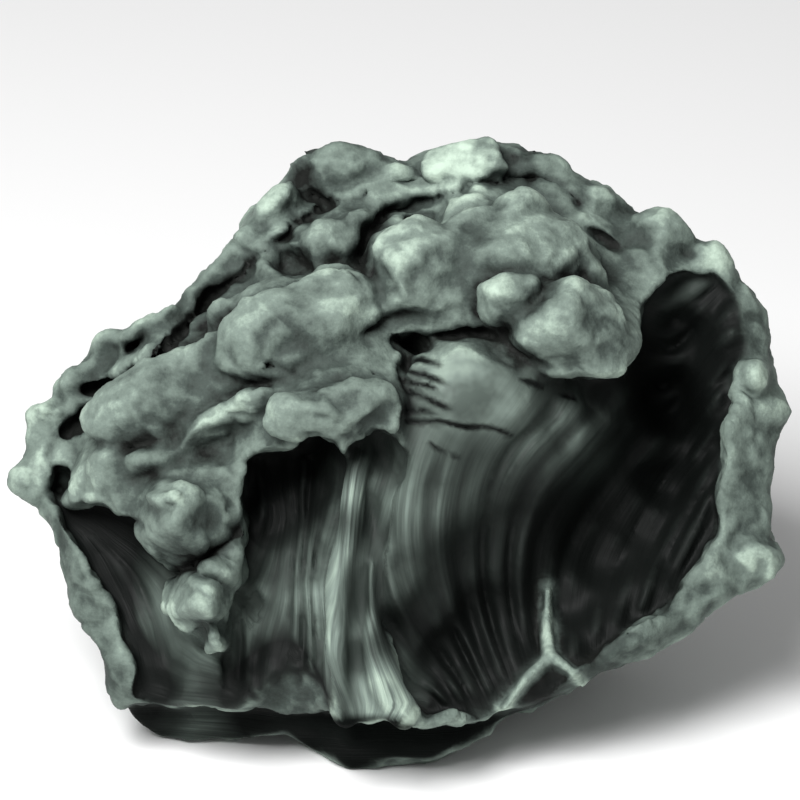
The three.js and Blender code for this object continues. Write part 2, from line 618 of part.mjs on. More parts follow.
// Stands the sketched stone up, cuts it flat underneath and centres it over its footprint.
function standingStone() {
  const upright = surface(brokenStone()).applyMatrix4(sketchToWorld);
  const groundSize = WIDTH * 2;
  const ground = new THREE.BoxGeometry(groundSize, groundSize, groundSize);
  ground.translate(0, 0, -groundSize / 2);
  const stone = surface(solid(upright).subtract(solid(ground)));
  stone.computeBoundingBox();
  const middle = stone.boundingBox.getCenter(new THREE.Vector3());
  stone.translate(-middle.x, -middle.y, 0);
  stone.computeVertexNormals();
  return stone;
}

const obsidian = new THREE.MeshStandardMaterial({
  color: STONE_COLOUR,
  roughness: STONE_ROUGHNESS,
  metalness: 0,
});

const chunk = new THREE.Mesh(standingStone(), obsidian);
chunk.name = 'obsidian_chunk';

const group = new THREE.Group();
group.add(chunk);

export default group;
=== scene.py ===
"""A chunk of obsidian: lumpy, weathered crust around glassy hollows with folds like hanging cloth.

Lists of places are in millimetres on a sketch plane that leans back over the stone's face:
u runs right, v up the slope and w out of the plane. Everything in Blender is in metres.
"""
import math

import bpy
import numpy as np
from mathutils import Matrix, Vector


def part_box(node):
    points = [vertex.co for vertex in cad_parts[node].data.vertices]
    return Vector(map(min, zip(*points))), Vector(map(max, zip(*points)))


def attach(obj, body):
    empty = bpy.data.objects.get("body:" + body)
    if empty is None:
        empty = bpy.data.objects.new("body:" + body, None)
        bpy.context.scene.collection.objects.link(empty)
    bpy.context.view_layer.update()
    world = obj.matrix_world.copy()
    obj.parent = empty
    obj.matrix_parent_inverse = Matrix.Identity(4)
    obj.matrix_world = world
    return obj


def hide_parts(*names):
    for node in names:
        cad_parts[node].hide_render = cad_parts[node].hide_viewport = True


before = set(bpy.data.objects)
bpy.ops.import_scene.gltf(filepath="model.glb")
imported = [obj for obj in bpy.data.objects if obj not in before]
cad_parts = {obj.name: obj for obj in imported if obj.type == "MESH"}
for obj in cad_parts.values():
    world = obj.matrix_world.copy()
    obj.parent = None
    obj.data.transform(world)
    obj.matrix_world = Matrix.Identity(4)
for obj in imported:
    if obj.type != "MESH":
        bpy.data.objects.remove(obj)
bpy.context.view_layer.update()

import openvdb
from mathutils import Vector

bl_info = {
    "name": "Obsidian Chunk",
    "version": (1, 0, 0),
    "blender": (4, 5, 0),
    "location": "View3D > Sidebar > Obsidian",
    "description": "Builds a chunk of obsidian and a plain stage for it",
    "category": "Object",
}

NODE = "obsidian_chunk"
MM = 0.001
DRAWN_WIDTH = 140.0  # the stone's width at which the lists below are written
node_low, node_high = (np.array(corner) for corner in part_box(NODE))
SCALE = (node_high[0] - node_low[0]) / (DRAWN_WIDTH * MM)
LEAN = math.radians(28)  # how far the sketch plane leans back from upright
BASE_DROP = 54.0  # from the sketch plane's origin straight down to the ground
FRONT_ROUNDING = 12.0  # how far in from the outline the face keeps curving
BACK_ROUNDING = 26.0  # the same for the back
EDGE = {"height": -11, "slope": 0.2}  # w where the stone is widest, at v = 0, and its fall with v
TUCK = {"start": -38, "length": 16, "drop": 13}  # how far that edge drops towards the base
SOFTNESS = {"face": 5, "back": 10, "floor": 3}  # how broadly listed heights blend
LEAST_RISE = 4.0  # the face lies at least this far over the edge
LEAST_FALL = 6.0  # the back lies at least this far under it
FACETS = 15  # worn facets round each lump
FACET_SHARPNESS = 14  # more makes the edges between facets sharper
BALL = {"share": 0.96, "pull": 0.92}  # the ball that fills a lump out between its facets
GRID_LOW = (-75.0, -61.0, -62.0)  # the block of space that the stone is formed in
GRID_HIGH = (74.0, 60.0, 32.0)
OUTSIDE = 3.0  # the field's value beyond that block

# ------------------------------------------------------------------ where things are, in mm

OUTLINE = np.array([
    (-19.5, 53.5), (-22.5, 49), (-27.5, 43), (-31.5, 35.5), (-35.5, 32), (-42, 25.5), (-48, 22.5),
    (-53.5, 18), (-60.5, 14.5), (-62.5, 10), (-68, 7), (-68, 0), (-70.5, -5.5), (-65, -10),
    (-62.5, -15), (-60.5, -22.5), (-58.5, -28.5), (-54, -35.5), (-53, -43), (-50, -47.5),
    (-44.5, -51.5), (-39.5, -52), (-28.5, -51.5), (-21.5, -50.5), (-18, -52.5), (-13.5, -55.5),
    (-10, -57.5), (-2, -56.5), (5.5, -55.8), (12, -52), (17.5, -47.8), (28.5, -43), (35.5, -39.5),
    (45.5, -35.5), (50, -32.5), (53.5, -29), (60.5, -25), (65, -19.5), (65.5, -12.5),
    (65.5, -3.5), (66.5, 2), (69.5, 7), (67, 12.5), (65.5, 19), (64.5, 25), (60, 32), (54.5, 37),
    (50, 39.5), (43, 43), (36.5, 48), (29.5, 50), (23, 53.5), (20.5, 55.5), (13.5, 56), (9, 55),
    (5, 55), (0, 52.5), (-5.5, 54), (-11.5, 55.5), (-19, 55.5),
])

FACE_HEIGHTS = [
    (-18, 52, -21), (0, 51, -20), (21.5, 51, -20), (37.5, 44.5, -17), (52, 36.5, -14),
    (61.5, 27, -13), (0, 44.5, -13), (25, 44.5, -13), (35.5, 38.5, -10), (46.5, 33, -7),
    (-12.5, 37.5, -9), (0, 35.5, 0), (18, 39.5, -4), (9, 28.5, 8), (25, 27, 9), (5, 21.5, 6),
    (15, 22, 7), (34, 18, 15), (10.5, 12.5, 19), (0, 3.5, 19), (-12.5, 7, 19), (-18, 19.5, 11),
    (-18, 30.5, -1), (-39.5, 10.5, 4), (-30.5, 27, -6), (-55.5, 9, -9), (-60.5, 0, -9),
    (-52, -3.5, 6), (-40, -10.5, 13), (-36.5, -27, 12), (-55.5, -19.5, 1), (-56.5, -30.5, -2),
    (-51, -43, -5), (-32, -43, 7), (-35.5, -51, -7), (-18, -51, -2), (-9, -5.5, 18),
    (-9, -27, 17), (-5.5, -44.5, 13), (-5.5, -55.5, 2), (10.5, -47.5, 9), (25.5, -39.5, 11),
    (37.5, -36.5, 6), (53.5, -25, 1), (63.5, -19.5, -5), (60.5, 0, -2), (65, 0, -8),
    (63.5, 16, -8), (60, 25, -7), (28.5, -9, 14), (46.5, 9, 7),
]

BACK_HEIGHTS = [
    (0, 44.5, -42), (-27, 21.5, -44), (28.5, 30.5, -50), (0, 3.5, -54), (-44.5, -5.5, -40),
    (44.5, 5.5, -50), (-9, -27, -56), (35.5, -19.5, -56), (57, -5.5, -34), (-55.5, -19.5, -34),
]

# Lumps: (u, v), half length, width and thickness, how far proud, turn and tilt in degrees.
CRUST_LUMPS = [
    # slabs and blocks along the top rim
    ((-12.5, 51), (8.5, 5.5, 4.5), 3.5, 0, -34), ((-4, 49.5), (7.5, 3.5, 4), 3, -4, -32),
    ((11, 52), (9, 5.5, 5), 4.5, 3, -34), ((24.5, 50.5), (7.5, 3.5, 4.5), 3, -32, -32),
    ((-23.5, 42.5), (7.5, 3.5, 5), 4, 52, -25),
    # the right rim
    ((35.5, 44), (5.5, 3, 5), 2, -38, -27), ((45.5, 39), (7, 5, 5), 3.5, -28, -27),
    ((54.5, 33.5), (6, 4.5, 5), 3, -36, -27), ((61.5, 24.5), (3.5, 6.5, 8), 2, 25, 0),
    ((63, 13.5), (4, 5, 9), 5.5, 10, 0), ((62, 0), (4, 8.5, 7), 2, 4, 0),
    ((61.5, -20), (7, 5, 7), 3.5, 30, 0), ((52, -27), (7.5, 3, 6), 2, 33, 0),
    ((38, -34.5), (9, 2, 5), 1, 24, 0),
    # the left rim
    ((-32, 32), (5.5, 3, 5), 2, 42, -20), ((-41, 23.5), (4.5, 2.5, 5), 2, 38, -20),
    ((-52.5, 18), (7.5, 3, 5), 2.5, 28, -20), ((-64.5, 6.5), (4.5, 3, 5), 3, 20, -12),
    ((-65, -1), (3, 3.5, 6), 2, -20, 0), ((-68, -5.5), (3, 2, 5), 1.5, 0, 0),
    ((-28, 38), (6, 2.8, 5), 2.5, 50, -22), ((-37, 28.5), (6, 2.4, 5), 2, 44, -20),
    ((-46.5, 21), (6, 2.4, 5), 2, 28, -20), ((-58.5, 13), (6, 2.8, 5), 2.5, 28, -16),
    # knobs in the middle of the top
    ((14, 33.5), (19, 12, 8), 7, 8, -27), ((-12.5, 36.5), (6.5, 6.5, 6.5), 6.5, 0, -27),
    ((-7.5, 41.5), (3.5, 3, 5), 5, 35, -27), ((2.5, 32), (10.5, 10, 9), 10.5, 10, -25),
    ((11.5, 38.5), (8, 3.5, 6), 8.5, 30, -27), ((20, 41.5), (6, 6, 7), 9, 0, -27),
    ((29.5, 34), (5.5, 9.5, 7), 7, 32, -25), ((19, 27.5), (6.5, 5.5, 7), 10, 8, -20),
    # broad plates on the upper left
    ((-19, 22.5), (17.5, 9.5, 6), 4, 19, -27), ((-22.5, 27), (17, 5, 5), 4, 22, -27),
    ((-30, 17.5), (13, 7, 5), 3.8, 26, -26), ((-38.5, 12), (21, 9.5, 6), 5, 27, -24),
    ((-12.5, 8), (13.5, 6, 6), 4.5, 8, -12), ((-51.5, -3), (6, 4.5, 6), 3.5, 0, -6),
    ((-43, -0.5), (5.5, 3, 6), 3, 10, -6), ((-36, 3), (6.5, 3.4, 6), 6.5, 40, -12),
    ((-31, 6.5), (5.5, 3, 6), 6.5, 36, -12), ((-26, 9), (5.5, 2.8, 5.5), 6, 26, -12),
    ((-44, -2), (6, 3, 6), 4.5, 12, -6),
]

HANGING_LUMPS = [
    ((28.5, 22.5), (11.5, 9.5, 11), 10, 22, -12), ((-38, -12), (9.5, 9.5, 19), 7.5, 0, 0),
    ((-41, -7.5), (5, 3, 9), 8, 10, 0), ((-33, -21), (5, 4.5, 16), 6.5, 0, 0),
    ((-36.3, -26.8), (6.8, 7, 18), 7.5, 25, 0), ((-34, -31.8), (3.2, 5, 15), 5, 30, 0),
]

# Pits: (u, v), half length and width, depth, turn.
PITS = [
    ((-21, 34.5), (6, 4), 7, -30), ((-36, 26.5), (1.2, 3), 6, -20),
    ((-48, 19.4), (3, 1.5), 7, 42), ((-61.5, -6), (2.8, 4), 9, 0),
    ((-57, 6.8), (4.2, 1.9), 6, 40), ((35, 38), (4.5, 1.5), 3.5, -25),
    ((1, 19), (4, 2.3), 12, -12), ((10, 20.5), (8, 1.2), 5, 0), ((4, 43), (5, 2.6), 4, 20),
]

# Cracks: half width, how far the middle line lies over the face, and a path of (u, v).
CRACKS = [
    (1.2, 2, [(-14.5, 44.5), (-24.5, 36), (-35.5, 26.5)]),
    (0.9, -1, [
        (-34, 28), (-39.3, 22.6), (-42, 19), (-44.6, 16.3), (-48.2, 14), (-51, 12.3),
        (-54.5, 11.3), (-57.5, 11.5),
    ]),
    (1.2, 1, [(-53, 9.5), (-56.5, 7), (-60, 4)]),
    (0.8, 2, [(-17, 46.5), (-12, 45), (-6, 46)]),
    (0.9, 2, [(3, 45.5), (9, 46.5), (19, 49.5), (24, 48.5), (29, 46.5), (32, 43.5)]),
    (1.5, 2, [(3, 45.5), (0, 44.5), (-3.5, 42.5), (-6.5, 39), (-7.5, 34)]),
    (0.5, 2, [(-31.5, 19), (-28, 17.5), (-24, 15), (-14.5, 12.5), (-5, 14)]),
    (0.9, 2, [(-28.5, -11), (-30.5, -15), (-34, -18), (-40, -20.5)]),
    (0.5, 2, [(20.5, 12.5), (25, 11), (30, 9.5)]),
    (1.4, 2, [(1.5, 18), (-0.5, 14), (0.5, 9), (-1, 3)]),
    (0.6, 2, [(16.5, 25.5), (20, 23.5), (26, 24)]),
]

# Ridges along the hollows: half width at the start and at the end, how far proud, and a path
# of (u, v). The fork is crust, the ribs of the column are glass under a pale film that is partly
# painted highlight.
FORK = [
    (1.7, 0.6, 4.0, [(25.9, -36.6), (25.6, -31), (25.2, -24.5)]),
    (1.2, 0.7, 3.2, [(25.9, -36.4), (21.8, -40.4), (17.4, -45.2)]),
    (1.2, 0.5, 3.0, [(25.9, -36.4), (29.2, -38.6), (31.6, -40.9)]),
]
RIBS = [
    (1.9, 2.3, 2.6, [(-7.9, -1), (-9.9, -12.5), (-11.9, -25), (-12.4, -35), (-10.8, -46)]),
    (0.5, 3.2, 2.4, [(-5.7, -19), (-6.2, -32.5), (-3.4, -40.5), (-0.3, -45.7)]),
]
PATH_STEP = 1.5
RIDGE_DEPTH = 3.5
CRACK_DEPTH = 4.5  # times the half width

# The long folds sweep down from the upper right and curl at the foot. Along one fold
# (u + slant * v + reach) * exp(-curl * v) stays the same; the spacing is that at v = 0.
FOLD_SWEEP = {"slant": 1.67, "reach": 129.5, "curl": 0.0151, "spacing": 6.2}
ROOMY_FOLD = 3.2  # folds narrower than this flatten out
SHOULDER = (9.5, 12.5, 12)  # the smooth place above the folds: (u, v) and radius

# Where the stone is paler or darker than round about: (u, v), radius, how much. Some are
# weathering, many are painted light and shade: pale on lit tops and the shoulder, dark on the
# hollows' right walls, between the fork's arms and along the base, and a painted sheen at the
# base's left end.
WEATHERED_AND_PAINTED_LIGHT_PLACES = [
    # the crust
    ((11, 52), 7, 1.6), ((-23.5, 42.5), 5, 0.9), ((63, 13.5), 4, 0.9), ((61.5, -20), 5, 0.8),
    ((1, 35), 6, 0.4), ((20, 39.5), 3.5, 0.6), ((19, 26.5), 5, 0.4), ((26, 22), 5, 0.3),
    ((-40.5, -7.5), 3.5, 0.9), ((-37, -15), 7, -1.1), ((-36, -26.5), 9, 1.1),
    ((-51.5, -2.5), 4, 0.3), ((-64.5, 6.5), 4, 0.6), ((-56, 17), 5, 0.5), ((-20, 24), 10, -0.2),
    ((-40, 12), 8, 0.3), ((-34.5, 4.5), 4, 0.7), ((-57, -26), 7, -0.6), ((-52, -40), 7, -0.7),
    ((50, 33), 8, 0.2), ((-28, 8.5), 3, 0.5), ((-65.5, -1), 3, 0.4), ((15, 33.5), 5, -0.6),
    ((-46, 4), 7, -0.4), ((-12, 44.5), 5, -0.4), ((30, 20), 4, -0.3), ((14, 24), 4, -0.3),
    ((-30, 28), 4, -0.3),
    # the hollows
    ((10.5, 13), 8, 0.9), ((62, -8), 12, -0.4), ((61, 22), 8, -0.35), ((1, 6), 7, 0.35),
    ((-1, -8), 7, 0.4), ((0, -20), 6, 0.25), ((18, 6), 7, 0.4), ((28, 6), 6, 0.25),
    ((33, 0), 6, 0.15), ((10, -8), 8, 0.15), ((-1.5, 8), 4, -0.8), ((36, -36), 7, -1.1),
    ((-16, -25), 7, 0.35), ((57, -2), 5, 0.25), ((46, -24), 7, -0.3), ((-12, -24), 5, 0.35),
    ((-3.5, -43), 5, 1.6), ((11, -48), 5, -0.7), ((-21, -44.5), 7, -1.3),
    ((24.5, -43.4), 4.5, -2.8), ((25.5, -40.5), 2.5, 0.35), ((-12, -40), 5, 0.4),
    ((-9.3, -7), 3.5, 0.6), ((-11, -18), 4, 0.6), ((-12.5, -32), 4.5, 0.7),
    ((-6.5, -30), 2.5, 0.3), ((-36, -50), 6, 0.6),
]

# Thin slits, deepest at their start: half width and a path of (u, v).
SLITS = [
    (0.5, [(0.3, 16.6), (3, 16.6), (6, 15.8)]), (0.55, [(0.6, 14.6), (3.5, 13.9), (8, 11.8)]),
    (0.45, [(1, 12.2), (4, 11.9), (6, 11)]), (0.55, [(0.6, 10.4), (3.5, 9.4), (7.5, 7.8)]),
    (0.5, [(0.2, 7.4), (3, 7.2), (5, 6.4)]),
    (0.4, [(0.5, 5.4), (7.5, 5.3), (13.5, 4.5), (19, 3)]),
    (0.4, [(0, 2.6), (5, 1.5), (9.5, -0.8)]), (0.45, [(30, 9.8), (25, 11.4), (20, 13)]),
]
SLIT_DEPTH = 3.0  # times the half width
SLIT_END = 0.85  # how much of its depth a slit has risen out of the face at its end

# How far each kind of form is rounded where it meets the stone.
BLEND = {
    "crust": 1.4, "hanging": 1.0, "hollow": 0.5, "hollow rim": 1.2, "pit": 0.8, "crack": 0.8,
    "slit": 0.3, "ridge": 0.6, "scar": 1.0,
}

# How each kind of form wanders: size, amount and seed.
SWAY = {"crack": (3.0, 0.5, 2.0), "slit": (3.5, 0.25, 3.0), "ridge": (5.0, 0.3, 1.0)}
LUMP_SWAY = 7.0
PIT_SWAY = 4.0
LUMP_SWAY_AMOUNT = 0.5

# The crust's facets, and the noise that roughens the crust and the folds.
BROAD_FACETS = {"size": 13.0, "seed": 3}
SMALL_FACETS = {"size": 5.5, "seed": 7}
FACET_RISE = {"broad": 0.9, "small": 0.35, "border": 0.25}
FACET_TONE = {"broad": 0.6, "small": 0.4}
LUMP_NOISE = {"size": 9.0, "layers": 4, "seed": 1}
GRAIN_NOISE = {"size": 2.2, "layers": 2, "seed": 4, "ridged": True}
STRAND_NOISE = {"size": 5.0, "layers": 3, "seed": 5}
LATTICE_SIZE = 32  # random values along each side of the noise's lattice
CELL_TABLE = 16  # cells along each side before their middles repeat

SHELTER_STEPS = [(1.5, 0.2), (4.0, 0.35), (9.0, 0.3), (16.0, 0.15)]  # reach, and share
RIDGE_BOX = 34  # only points this near a ridge's middle are measured from it
SLIT_BOX = 14  # the same for a slit
PLACE_DEPTH_STRETCH = 3  # how much further a pale or dark place reaches along w than across
SHADED_BASE = {"top": -45.5, "fade": 1.5}  # below this v the base's glass is painted dark as shade: no film, little specular
BASE_SHEEN = {"start": -14, "length": 22, "most": 0.3}  # to the left of this u some film and specular come back: a painted sheen
# How much paler the fork's ridge is set than round about.
FORK_PALENESS = 1.1

# Balls that leave shallow flake scars on the back and the sides: middle and radius.
FLAKE_SCARS = [
    ((-53, 5, -94), 60), ((64, -11, -106), 70), ((5, 66, -79), 50), ((5, -45, -106), 55),
    ((93, -28, -42), 40), ((-90, -36, -42), 40),
]


# ------------------------------------------------------------------ shaping helpers

def spread(heights, u, v, softness):
    """A height at each (u, v), blended from listed heights. The nearest count most."""
    total = np.zeros_like(u)
    weights = np.zeros_like(u)
    for x, y, height in heights:
        weight = 1.0 / ((u - x) ** 2 + (v - y) ** 2 + softness ** 2) ** 2
        total += weight * height
        weights += weight
    return total / weights


def rim_distance(u, v):
    """How far (u, v) lies inside the outline, negative outside it."""
    nearest = np.full(u.shape, 1e9)
    inside = np.zeros(u.shape, bool)
    for (ax, ay), (bx, by) in zip(OUTLINE, np.roll(OUTLINE, -1, axis=0)):
        ex, ey = bx - ax, by - ay
        t = np.clip(((u - ax) * ex + (v - ay) * ey) / (ex * ex + ey * ey), 0, 1)
        nearest = np.minimum(nearest, (u - ax - t * ex) ** 2 + (v - ay - t * ey) ** 2)
        if ey != 0:
            crosses = ((ay > v) != (by > v)) & (u < ex * (v - ay) / ey + ax)
            inside ^= crosses
    return np.where(inside, np.sqrt(nearest), -np.sqrt(nearest))


def edge_height(v):
    """The height at which the stone is widest. It drops towards the tucked-in base."""
    drop = np.clip((TUCK["start"] - v) / TUCK["length"], 0, 1)
    return EDGE["height"] - EDGE["slope"] * v - TUCK["drop"] * drop * drop * (3 - 2 * drop)


def face_rise(u, v):
    """How far the middle of the unbroken face lies over the stone's widest place."""
    return np.maximum(spread(FACE_HEIGHTS, u, v, SOFTNESS["face"]) - edge_height(v), LEAST_RISE)


def face_height(u, v):
    """The unbroken face, as the lumps, pits and cracks are set on it."""
    u = np.atleast_1d(np.asarray(u, float))
    v = np.atleast_1d(np.asarray(v, float))
    inset = np.clip(rim_distance(u, v) / FRONT_ROUNDING, 0, 1)
    return edge_height(v) + face_rise(u, v) * np.sqrt(1 - (1 - inset) ** 2)


def axes_of(turn, tilt=0.0):
    """Axes turned round w and tilted up, as the columns of a matrix."""
    c, s = math.cos(math.radians(turn)), math.sin(math.radians(turn))
    about = np.array([[c, -s, 0], [s, c, 0], [0, 0, 1]])
    c, s = math.cos(math.radians(tilt)), math.sin(math.radians(tilt))
    return about @ np.array([[1, 0, 0], [0, c, -s], [0, s, c]])


def join(a, b, blend):
    """The union of two distance fields, rounded over the blend distance."""
    h = np.maximum(blend - np.abs(a - b), 0) / blend
    return np.minimum(a, b) - h * h * blend * 0.25


def cut(a, b, blend):
    """The first field with the second one cut out of it."""
    return -join(-a, b, blend)


def wander(p, size, amount, seed):
    """A smooth sideways wander, so that no form comes out regular."""
    x, y, z = p[..., 0] / size, p[..., 1] / size, p[..., 2] / size
    a = np.sin(1.7 * y + 0.9 * z + seed) + 0.6 * np.sin(3.1 * z - 2.3 * x + 1.3 * seed + 1)
    b = np.sin(1.5 * z - 1.1 * x + 2 + seed) + 0.6 * np.sin(2.9 * x + 2.6 * y + 0.7 * seed)
    c = np.sin(1.9 * x + 1.2 * y + 4 + seed) + 0.6 * np.sin(2.7 * y - 3 * z + seed)
    return amount * np.stack([a, b, c], -1)


def facet_ways(seed):
    """Directions of a lump's facets and how far out each one lies, as a share of the radius."""
    number = np.arange(FACETS)
    z = 1 - (2 * number + 1) / FACETS
    angle = 2.4 * number + seed
    flat = np.sqrt(1 - z * z)
    ways = np.column_stack([flat * np.cos(angle), flat * np.sin(angle), z])
    return ways / (0.85 + 0.1 * np.sin(1.7 * number * number + seed))[:, None]


def lump_distance(p, middle, axes, half, seed):
    """The distance to an ellipsoid with worn facets, negative inside."""
    q = ((p - middle) @ axes) / half
    shape = q.shape[:-1]
    q = q.reshape(-1, 3)
    ways = facet_ways(seed)
    out = np.maximum(q @ ways.T, 0)
    ball = np.linalg.norm(q, axis=-1) * BALL["share"] + 1e-6
    sharp = FACET_SHARPNESS
    reach = ((out ** sharp).sum(-1) + ball ** sharp) ** (1 / sharp)
    weights = (out / reach[:, None]) ** (sharp - 1)
    slope = weights @ ways + q * ((ball / reach) ** (sharp - 1) * BALL["pull"] / ball)[:, None]
    slope = np.maximum(np.linalg.norm(slope / half, axis=-1), 1 / max(half))
    return ((reach - 1) / slope).reshape(shape)


def lump_form(middle, axes, half, sway):
    """The distance to one wandering lump, as a function of the points."""
    seed = middle[0]
    return lambda p: lump_distance(
        p + wander(p, sway, LUMP_SWAY_AMOUNT, seed), middle, axes, half, seed
    )


def path_distance(p, path, width, depth):
    """The distance to a spindle along a path: thin across and deep along w."""
    nearest = np.full(p.shape[:-1], 1e9)
    shape = np.array([1, 1, width / depth])
    points = np.array(path, float)
    for a, b in zip(points[:-1], points[1:]):
        line = b - a
        t = np.clip(((p - a) @ line) / (line @ line), 0, 1)
        away = (p - a - t[..., None] * line) * shape
        nearest = np.minimum(nearest, np.linalg.norm(away, axis=-1))
    return nearest - width


def shoulder_share(u, v):
    """1 in the middle of the smooth shoulder, fading to 0 round it."""
    away = ((u - SHOULDER[0]) ** 2 + (v - SHOULDER[1]) ** 2) / SHOULDER[2] ** 2
    return np.exp(-away * away)


class Hollow:
    """A hollow between a left and a right edge. Its folds run from foot to top, or sweep."""

    def __init__(self, top, foot, left, right, floor, folds, fold_height, seed, sweep=None):
        self.foot = np.array(foot, float)
        line = np.array(top, float) - self.foot
        self.length = math.hypot(*line)
        self.axis = line / self.length
        self.across = np.array([-self.axis[1], self.axis[0]])
        self.edges = [self.stations(edge) for edge in (left, right)]
        self.floor, self.folds, self.fold_height = floor, folds, fold_height
        self.seed, self.sweep = seed, sweep
        corners = np.array([top, foot] + left + right, float)
        self.low, self.high = corners.min(0), corners.max(0)

    def stations(self, edge):
        away = np.array(edge, float) - self.foot
        along = np.concatenate([[0], away @ self.axis, [self.length]])
        return along, np.concatenate([[0], away @ self.across, [0]])

    def coordinates(self, u, v):
        """Share across from the left edge, share along from the foot, width and edge distance."""
        x, y = u - self.foot[0], v - self.foot[1]
        along = x * self.axis[0] + y * self.axis[1]
        across = x * self.across[0] + y * self.across[1]
        left, right = (np.interp(along, *edge) for edge in self.edges)
        width = left - right
        share = (left - across) / np.maximum(width, 0.5)
        inside = np.minimum(left - across, across - right)
        ends = 0.8 * np.minimum(along, self.length - along)
        return share, along / self.length, width, np.minimum(inside, ends)

    def phase(self, u, v):
        """Counts the folds. Whole numbers are the creases between them."""
        share, along, _, _ = self.coordinates(u, v)
        if self.sweep:
            slant, reach, curl, spacing = self.sweep.values()
            count = (u + slant * v + reach) * np.exp(-curl * v) / spacing
        else:
            count = self.folds * share
        turn = 0.3 * np.sin(5.1 * share + 2.2 * along + self.seed)
        sway = 0.22 * np.sin(9 * along + 7 * share + 2 * self.seed)
        return count + (turn + sway) * (1 - shoulder_share(u, v))

    def fold_width(self, v, width):
        if self.sweep:
            return self.sweep["spacing"] * np.exp(self.sweep["curl"] * v)
        return width / self.folds

    def floor_height(self, u, v):
        share, along, width, edge = self.coordinates(u, v)
        room = np.clip(self.fold_width(v, width) / ROOMY_FOLD, 0, 1) ** 1.5
        room = room * np.clip(edge / 3, 0, 1) * (1 - shoulder_share(u, v))
        phase = self.phase(u, v)
        fold = np.sqrt(np.sin(math.pi * phase) ** 2 + 0.05) - 0.5
        ripple = np.sin(math.pi * (1.62 * phase + 0.3 * np.sin(6 * along))) ** 2
        strength = 0.62 + 0.38 * np.sin(11 * share + 3 * along + 3 * self.seed)
        rise = self.fold_height * room * strength * (fold + 0.2 * ripple * room)
        return spread(self.floor, u, v, SOFTNESS["floor"]) + rise


MAIN_HOLLOW = Hollow(
    top=(55.5, 32.5), foot=(4.5, -46.6),
    left=[
        (0.5, -43), (-2.5, -35), (-4.5, -27), (-4, -18), (-2.5, -9), (0, 2), (0, 9),
        (1.5, 17.5), (7, 19), (18, 17.5), (21.5, 15.5), (28.5, 13), (39.5, 14.5), (41.5, 18.5),
        (43, 27), (45, 30), (50, 32),
    ],
    right=[
        (19, -46), (27.5, -41.5), (30.5, -37.5), (37, -33), (45.5, -28.5), (53.5, -19),
        (55.5, -14.5), (57, 0), (58.5, 9), (61, 19.5), (60, 27),
    ],
    floor=[
        (0.5, 15, 12), (9, 15.5, 14), (9, 10.5, 17), (18, 9, 14), (3.5, 0, 14), (4.5, -9, 12),
        (-1.5, -12.5, 12), (-2, -24, 9), (-1.5, -33, 3), (5.5, -27, 3), (9, -35.5, -4),
        (14.5, -18, -1), (21.5, 0, 7), (28.5, 5.5, 3), (35.5, 9, -6), (43, 0, -18),
        (48, 9, -30), (50, 21.5, -23), (53.5, 27, -15), (45.5, 27, -16), (59, 21.5, -10),
        (58, 9, -14), (56.5, -9, -12), (52, -17, -11), (35.5, -18, -15), (43, -12.5, -18),
        (28.5, -27, -9), (25, -34, -5), (43, -27, -6), (35.5, -34, -2), (28.5, -37.5, 2),
        (18, -43, 1), (7, -44.5, 2), (13.5, -28.5, -6), (46.5, -5.5, -24), (39.5, -9, -17),
        (25.5, -39.5, 3), (22, -41.5, 2), (29.5, -39, 2.5), (25, -42.5, 0),
    ],
    folds=12, fold_height=3.6, seed=0.4, sweep=FOLD_SWEEP,
)
LEFT_HOLLOW = Hollow(
    top=(-17, 3.5), foot=(-20.5, -47),
    left=[
        (-33, -41), (-31.5, -30.5), (-29.5, -20), (-28, -11), (-28.5, -3), (-28.5, -0.5),
        (-24, 0), (-21.5, 0.5), (-19, 1.5),
    ],
    right=[(-12.5, -44.5), (-12.5, -34), (-12.5, -23), (-10.5, -12.5), (-9.5, -3), (-11.5, 2)],
    floor=[
        (-18, 0, -6), (-24, -2.5, -8), (-18, -9, -4), (-24, -12.5, -4), (-19.5, -19.5, 1),
        (-19.5, -30.5, 4), (-21.5, -41, 5), (-15, -27, 7), (-26, -27, 2), (-15, -40.5, 8),
        (-12.5, -12.5, 5), (-27, -5, -6), (-28, -20, -2), (-31, -35, -1), (-11, -1, 2),
    ],
    folds=6, fold_height=3.0, seed=1.7,
)
COLUMN = Hollow(
    top=(-5, 4), foot=(-3, -51),
    left=[(-11, -47), (-14, -36), (-14.5, -24), (-13, -12.5), (-11.5, -3), (-9.5, 2)],
    right=[(2, -44), (-1.5, -35), (-3.5, -27), (-3, -18), (-1.5, -9), (1, 0), (-1, 3)],
    floor=[
        (-8.5, 0, 9), (-3.5, 0, 5), (0, 1, 12), (-10.5, -10, 12), (-6, -10, 5), (-2.5, -10, 11),
        (-12, -25, 13), (-7.5, -25, 6), (-4.5, -25, 9), (-12, -36, 13), (-8, -36, 8),
        (-5, -37, 13), (-8, -46, 11), (-3, -46, 12), (-12, -46, 9),
    ],
    folds=4, fold_height=1.3, seed=2.1,
)
LOW_HOLLOW = Hollow(
    top=(-62, -9), foot=(-13, -45.5),
    left=[
        (-19.5, -46), (-29.5, -46), (-43, -45.5), (-47.5, -44), (-48.5, -35.5), (-52, -27),
        (-57, -19), (-61, -13.5),
    ],
    right=[
        (-14, -43), (-18, -34), (-24.5, -27), (-28.5, -21.5), (-37.5, -17), (-45.5, -12.5),
        (-53.5, -9),
    ],
    floor=[
        (-58, -12.5, -9), (-54.5, -17, -8), (-50, -23, -7), (-44.5, -34, -5), (-44.5, -43, -5),
        (-41, -19.5, -3), (-35.5, -27, -3), (-30.5, -27, 0), (-35.5, -43, 1),
        (-30.5, -37.5, 2), (-25, -34, 4), (-18, -43, 8), (-23, -44.5, 7),
    ],
    folds=6, fold_height=1.9, seed=0.6,
)
